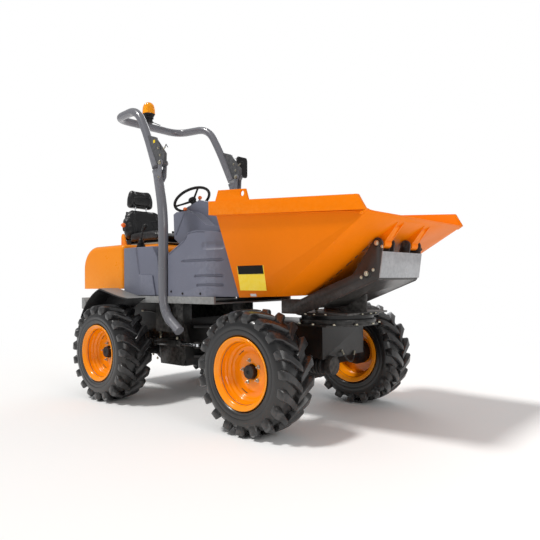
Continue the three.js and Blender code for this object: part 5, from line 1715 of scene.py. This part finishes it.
def makeSeat():
    made = padForm("seat_pad", "cushion", cushionLift, 0.010)
    sewn(made, (0.3, 0, 1), cushionSeams)
    dress(made, "hood", "seatVinyl", ("seat_cushion",), 60)
    made = padForm("back_pad", "back", backLift, 0.010)
    sewn(made, (1, 0, 0.25), backSeams)
    dress(made, "hood", "seatVinyl", ("seat_back",), 60)
    made = padForm("headrest_pad", "headrest", headrestLift, 0.008)
    sewn(made, (1, 0, 0), headrestSeams)
    dress(made, "hood", "seatVinyl", ("headrest",), 60)
    f = seatFittings
    x, half, low, high = f["posts"]
    posts = [swept("post", [at(x, y, low), at(x, y, high)], f["postRadius"], 14)
             for y in (-half, half)]
    dress(joined("headrest_posts", posts), "hood", "rodChrome")
    shell = rounded(slab("seat_shell", seat["shell"], -f["shellHalf"], f["shellHalf"]),
                    f["shellEdge"], 3)
    for vertex in shell.data.vertices:
        if vertex.co.z > seat["shellBend"]:
            vertex.co.y *= seat["shellTaper"]
    dress(shell, "hood", "blackMoulding")
    base = rounded(copyOf("seat_base", "seat_frame"), f["baseEdge"], 3)
    dress(base, "hood", "blackMoulding", ("seat_base",))
    near, far = f["railY"]
    rails = [rounded(slab("rail", f["rail"], *sorted((way * near, way * far))), f["railEdge"], 2)
             for way in sides.values()]
    handle = bentLine([at(*p) for p in f["handle"]], f["bend"], 6)
    dress(joined("seat_rails", [*rails, swept("handle", handle, f["handleRadius"], 12)]), "hood",
          "zinc")
    bracket = rounded(slab("seat_bracket", f["bracket"], *f["bracketY"]), f["fittingEdge"], 3)
    dress(bracket, "hood", "hoodPaint")
    arm = bentLine([at(*p) for p in f["recliner"]], f["bend"], 6)
    dress(swept("recliner_arm", arm, f["reclinerRadius"], 14), "hood", "blackMoulding")
    dress(knob("recliner_knob", at(*f["reclinerKnob"]), f["knob"]), "hood", "knobOrange")
    buckle = rounded(slab("buckle", f["buckle"], *f["buckleY"]), f["fittingEdge"], 3)
    stalk = swept("stalk", [at(*p) for p in f["stalk"]], f["stalkRadius"], 10)
    dress(joined("belt_buckle", [buckle, stalk]), "hood", "blackMoulding")


def knob(name, centre, radius):
    # A ball knob, a little flattened, with a short collar under it.
    profile = [(0.0, -radius * 1.05), (radius * 0.42, -radius * 1.05),
               (radius * 0.42, -radius * 0.85)]
    profile += [(radius * math.cos(math.radians(a)), radius * 0.92 * math.sin(math.radians(a)))
                for a in range(-60, 90, 10)] + [(0.0, radius * 0.92)]
    return turnedPiece(name, profile, centre, (0, 0, 1), 28, closed=False)


# The steering wheel, its column, the stalks and the working lever.

helm = {
    "ring": 0.156, "grip": 0.0125, "hub": 0.034, "spokes": (345, 105, 225), "ringSteps": 96,
    "fingerWaves": 60, "wave": 0.0007, "column": 0.026, "footDrop": 0.120,
    # (radius, height) along a spoke, and how thick it is there
    "spokeLine": [(0.020, -0.0130), (0.045, -0.0120), (0.090, -0.0075), (0.125, -0.0030),
                  (0.150, 0.0)],
    "spokeRadii": [0.0105, 0.0095, 0.0080, 0.0080, 0.0095],
    "stalk": [(-0.430, 0.0, 1.578), (-0.402, 0.0, 1.606), (-0.378, 0.0, 1.632)],
    "stalkRadius": 0.0045, "stub": [(-0.414, -0.130, 1.5035), (-0.414, -0.130, 1.522)],
    "stubRadius": 0.008, "knobs": [(-0.376, 0.0, 1.640), (-0.414, -0.130, 1.535)], "knob": 0.017,
}


def makeHelm():
    centre = jointAt("steering_wheel_turn")
    up = Vector(joints["steering_wheel_turn"]["axis"]).normalized()
    ahead = (Vector((1, 0, 0)) - up * up.x).normalized()
    left = up.cross(ahead)

    def spot(radius, degrees, height):
        turn = math.radians(degrees)
        return centre + radius * (math.cos(turn) * ahead + math.sin(turn) * left) + up * height

    steps = helm["ringSteps"] * 2
    ring = [spot(helm["ring"], 360 * i / steps, 0) for i in range(steps)]
    grip = [helm["grip"] - helm["wave"] * (1 + math.cos(math.tau * helm["fingerWaves"] * i / steps))
            for i in range(steps)]
    parts = [swept("ring", ring, grip, 20, closed=True)]
    for degrees in helm["spokes"]:
        line = [spot(radius, degrees, height) for radius, height in helm["spokeLine"]]
        parts.append(swept("spoke", line, helm["spokeRadii"], 14))
    parts.append(turnedPiece("hub", [(0.0, -0.020), (0.027, -0.020), (0.031, -0.016),
                                     (helm["hub"], -0.008), (helm["hub"], 0.002), (0.031, 0.007),
                                     (0.024, 0.0095), (0.022, 0.0085), (0.0, 0.0115)],
                             centre, up, 36, closed=False))
    dress(joined("wheel_and_spokes", parts), "steering_wheel", "blackMoulding",
          ("steering_wheel",), 40)
    foot = centre - up * helm["footDrop"]
    radius = helm["column"]
    folds = [(radius * 0.80 + (0.0 if i % 2 else radius * 0.20), 0.040 + 0.009 * i)
             for i in range(7)]
    column = [(0.0, 0.0), (radius, 0.0), (radius, 0.036)] + folds
    column += [(radius * 0.72, 0.0985), (radius * 0.72, 0.0994), (0.0, 0.0994)]
    dress(turnedPiece("column_boot", column, foot, up, 36, closed=False), "rear_chassis",
          "blackMoulding", ("steering_column",), 30)
    stalk = swept("stalk", [at(*p) for p in helm["stalk"]], helm["stalkRadius"], 12)
    stub = swept("stub", [at(*p) for p in helm["stub"]], helm["stubRadius"], 14)
    dress(joined("helm_stalks", [stalk, stub]), "rear_chassis", "blackMoulding")
    knobs = [knob("knob", at(*p), helm["knob"]) for p in helm["knobs"]]
    dress(joined("helm_knobs", knobs), "rear_chassis", "knobOrange")


lever = {
    "foot": (-0.745, -0.335), "flange": [(0.0, 0.0), (0.042, 0.0), (0.044, 0.003), (0.042, 0.006)],
    # each fold's valley and crest: the first one's radius, how much each next one loses, its height
    "folds": 5, "valley": (0.034, 0.0042, 0.010), "crest": (0.0385, 0.0046, 0.016),
    "pitch": 0.0125, "neck": [(0.0125, 0.074), (0.0115, 0.080), (0.0, 0.080)],
    "stick": [(0, 0, 0.070), (0.016, 0, 0.115), (0.033, 0, 0.152)], "stickRadius": 0.0062,
    "grip": [(0.020, 0, 0.140), (0.025, 0, 0.146), (0.034, 0.001, 0.158), (0.044, 0.003, 0.171),
             (0.055, 0.005, 0.182), (0.064, 0.006, 0.189), (0.069, 0.007, 0.193)],
    "gripRadii": [0.008, 0.0125, 0.0150, 0.0165, 0.0165, 0.0125, 0.004],
}


def makeLever():
    x, y = lever["foot"]
    foot = at(x, y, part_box("control_lever")[0].z)
    folds = list(lever["flange"])
    for i in range(lever["folds"]):
        for radius, loss, height in (lever["valley"], lever["crest"]):
            folds.append((radius - loss * i, height + lever["pitch"] * i))
    folds += lever["neck"]
    boot = turnedPiece("boot", folds, foot, (0, 0, 1), 32, closed=False)
    stick = swept("stick", [foot + Vector(p) for p in lever["stick"]], lever["stickRadius"], 14)
    grip = swept("grip", [foot + Vector(p) for p in lever["grip"]], lever["gripRadii"], 22)
    dress(joined("working_lever", [boot, stick, grip]), "rear_chassis", "blackMoulding",
          ("control_lever",), 40)


def makeLever():
    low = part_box("control_lever")[0]
    foot = at(-0.745, -0.335, low.z)
    folds = [(0.0, 0.0), (0.042, 0.0), (0.044, 0.003), (0.042, 0.006)]
    for i in range(5):
        folds += [(0.034 - 0.0042 * i, 0.010 + 0.0125 * i),
                  (0.0385 - 0.0046 * i, 0.016 + 0.0125 * i)]
    folds += [(0.0125, 0.074), (0.0115, 0.080), (0.0, 0.080)]
    boot = turnedPiece("boot", folds, foot, (0, 0, 1), 32, closed=False)
    stick = swept("stick", [foot + Vector((0, 0, 0.070)), foot + Vector((0.016, 0, 0.115)),
                            foot + Vector((0.033, 0, 0.152))], 0.0062, 14)
    grip = swept("grip", [foot + Vector(p) for p in (
        (0.020, 0, 0.140), (0.025, 0, 0.146), (0.034, 0.001, 0.158), (0.044, 0.003, 0.171),
        (0.055, 0.005, 0.182), (0.064, 0.006, 0.189), (0.069, 0.007, 0.193))],
                 [0.008, 0.0125, 0.0150, 0.0165, 0.0165, 0.0125, 0.004], 22)
    dress(joined("working_lever", [boot, stick, grip]), "rear_chassis", "blackMoulding",
          ("control_lever",), 40)


makeSeat()
print("seat ready")
makeHelm()
makeLever()
print("steering wheel and lever ready")
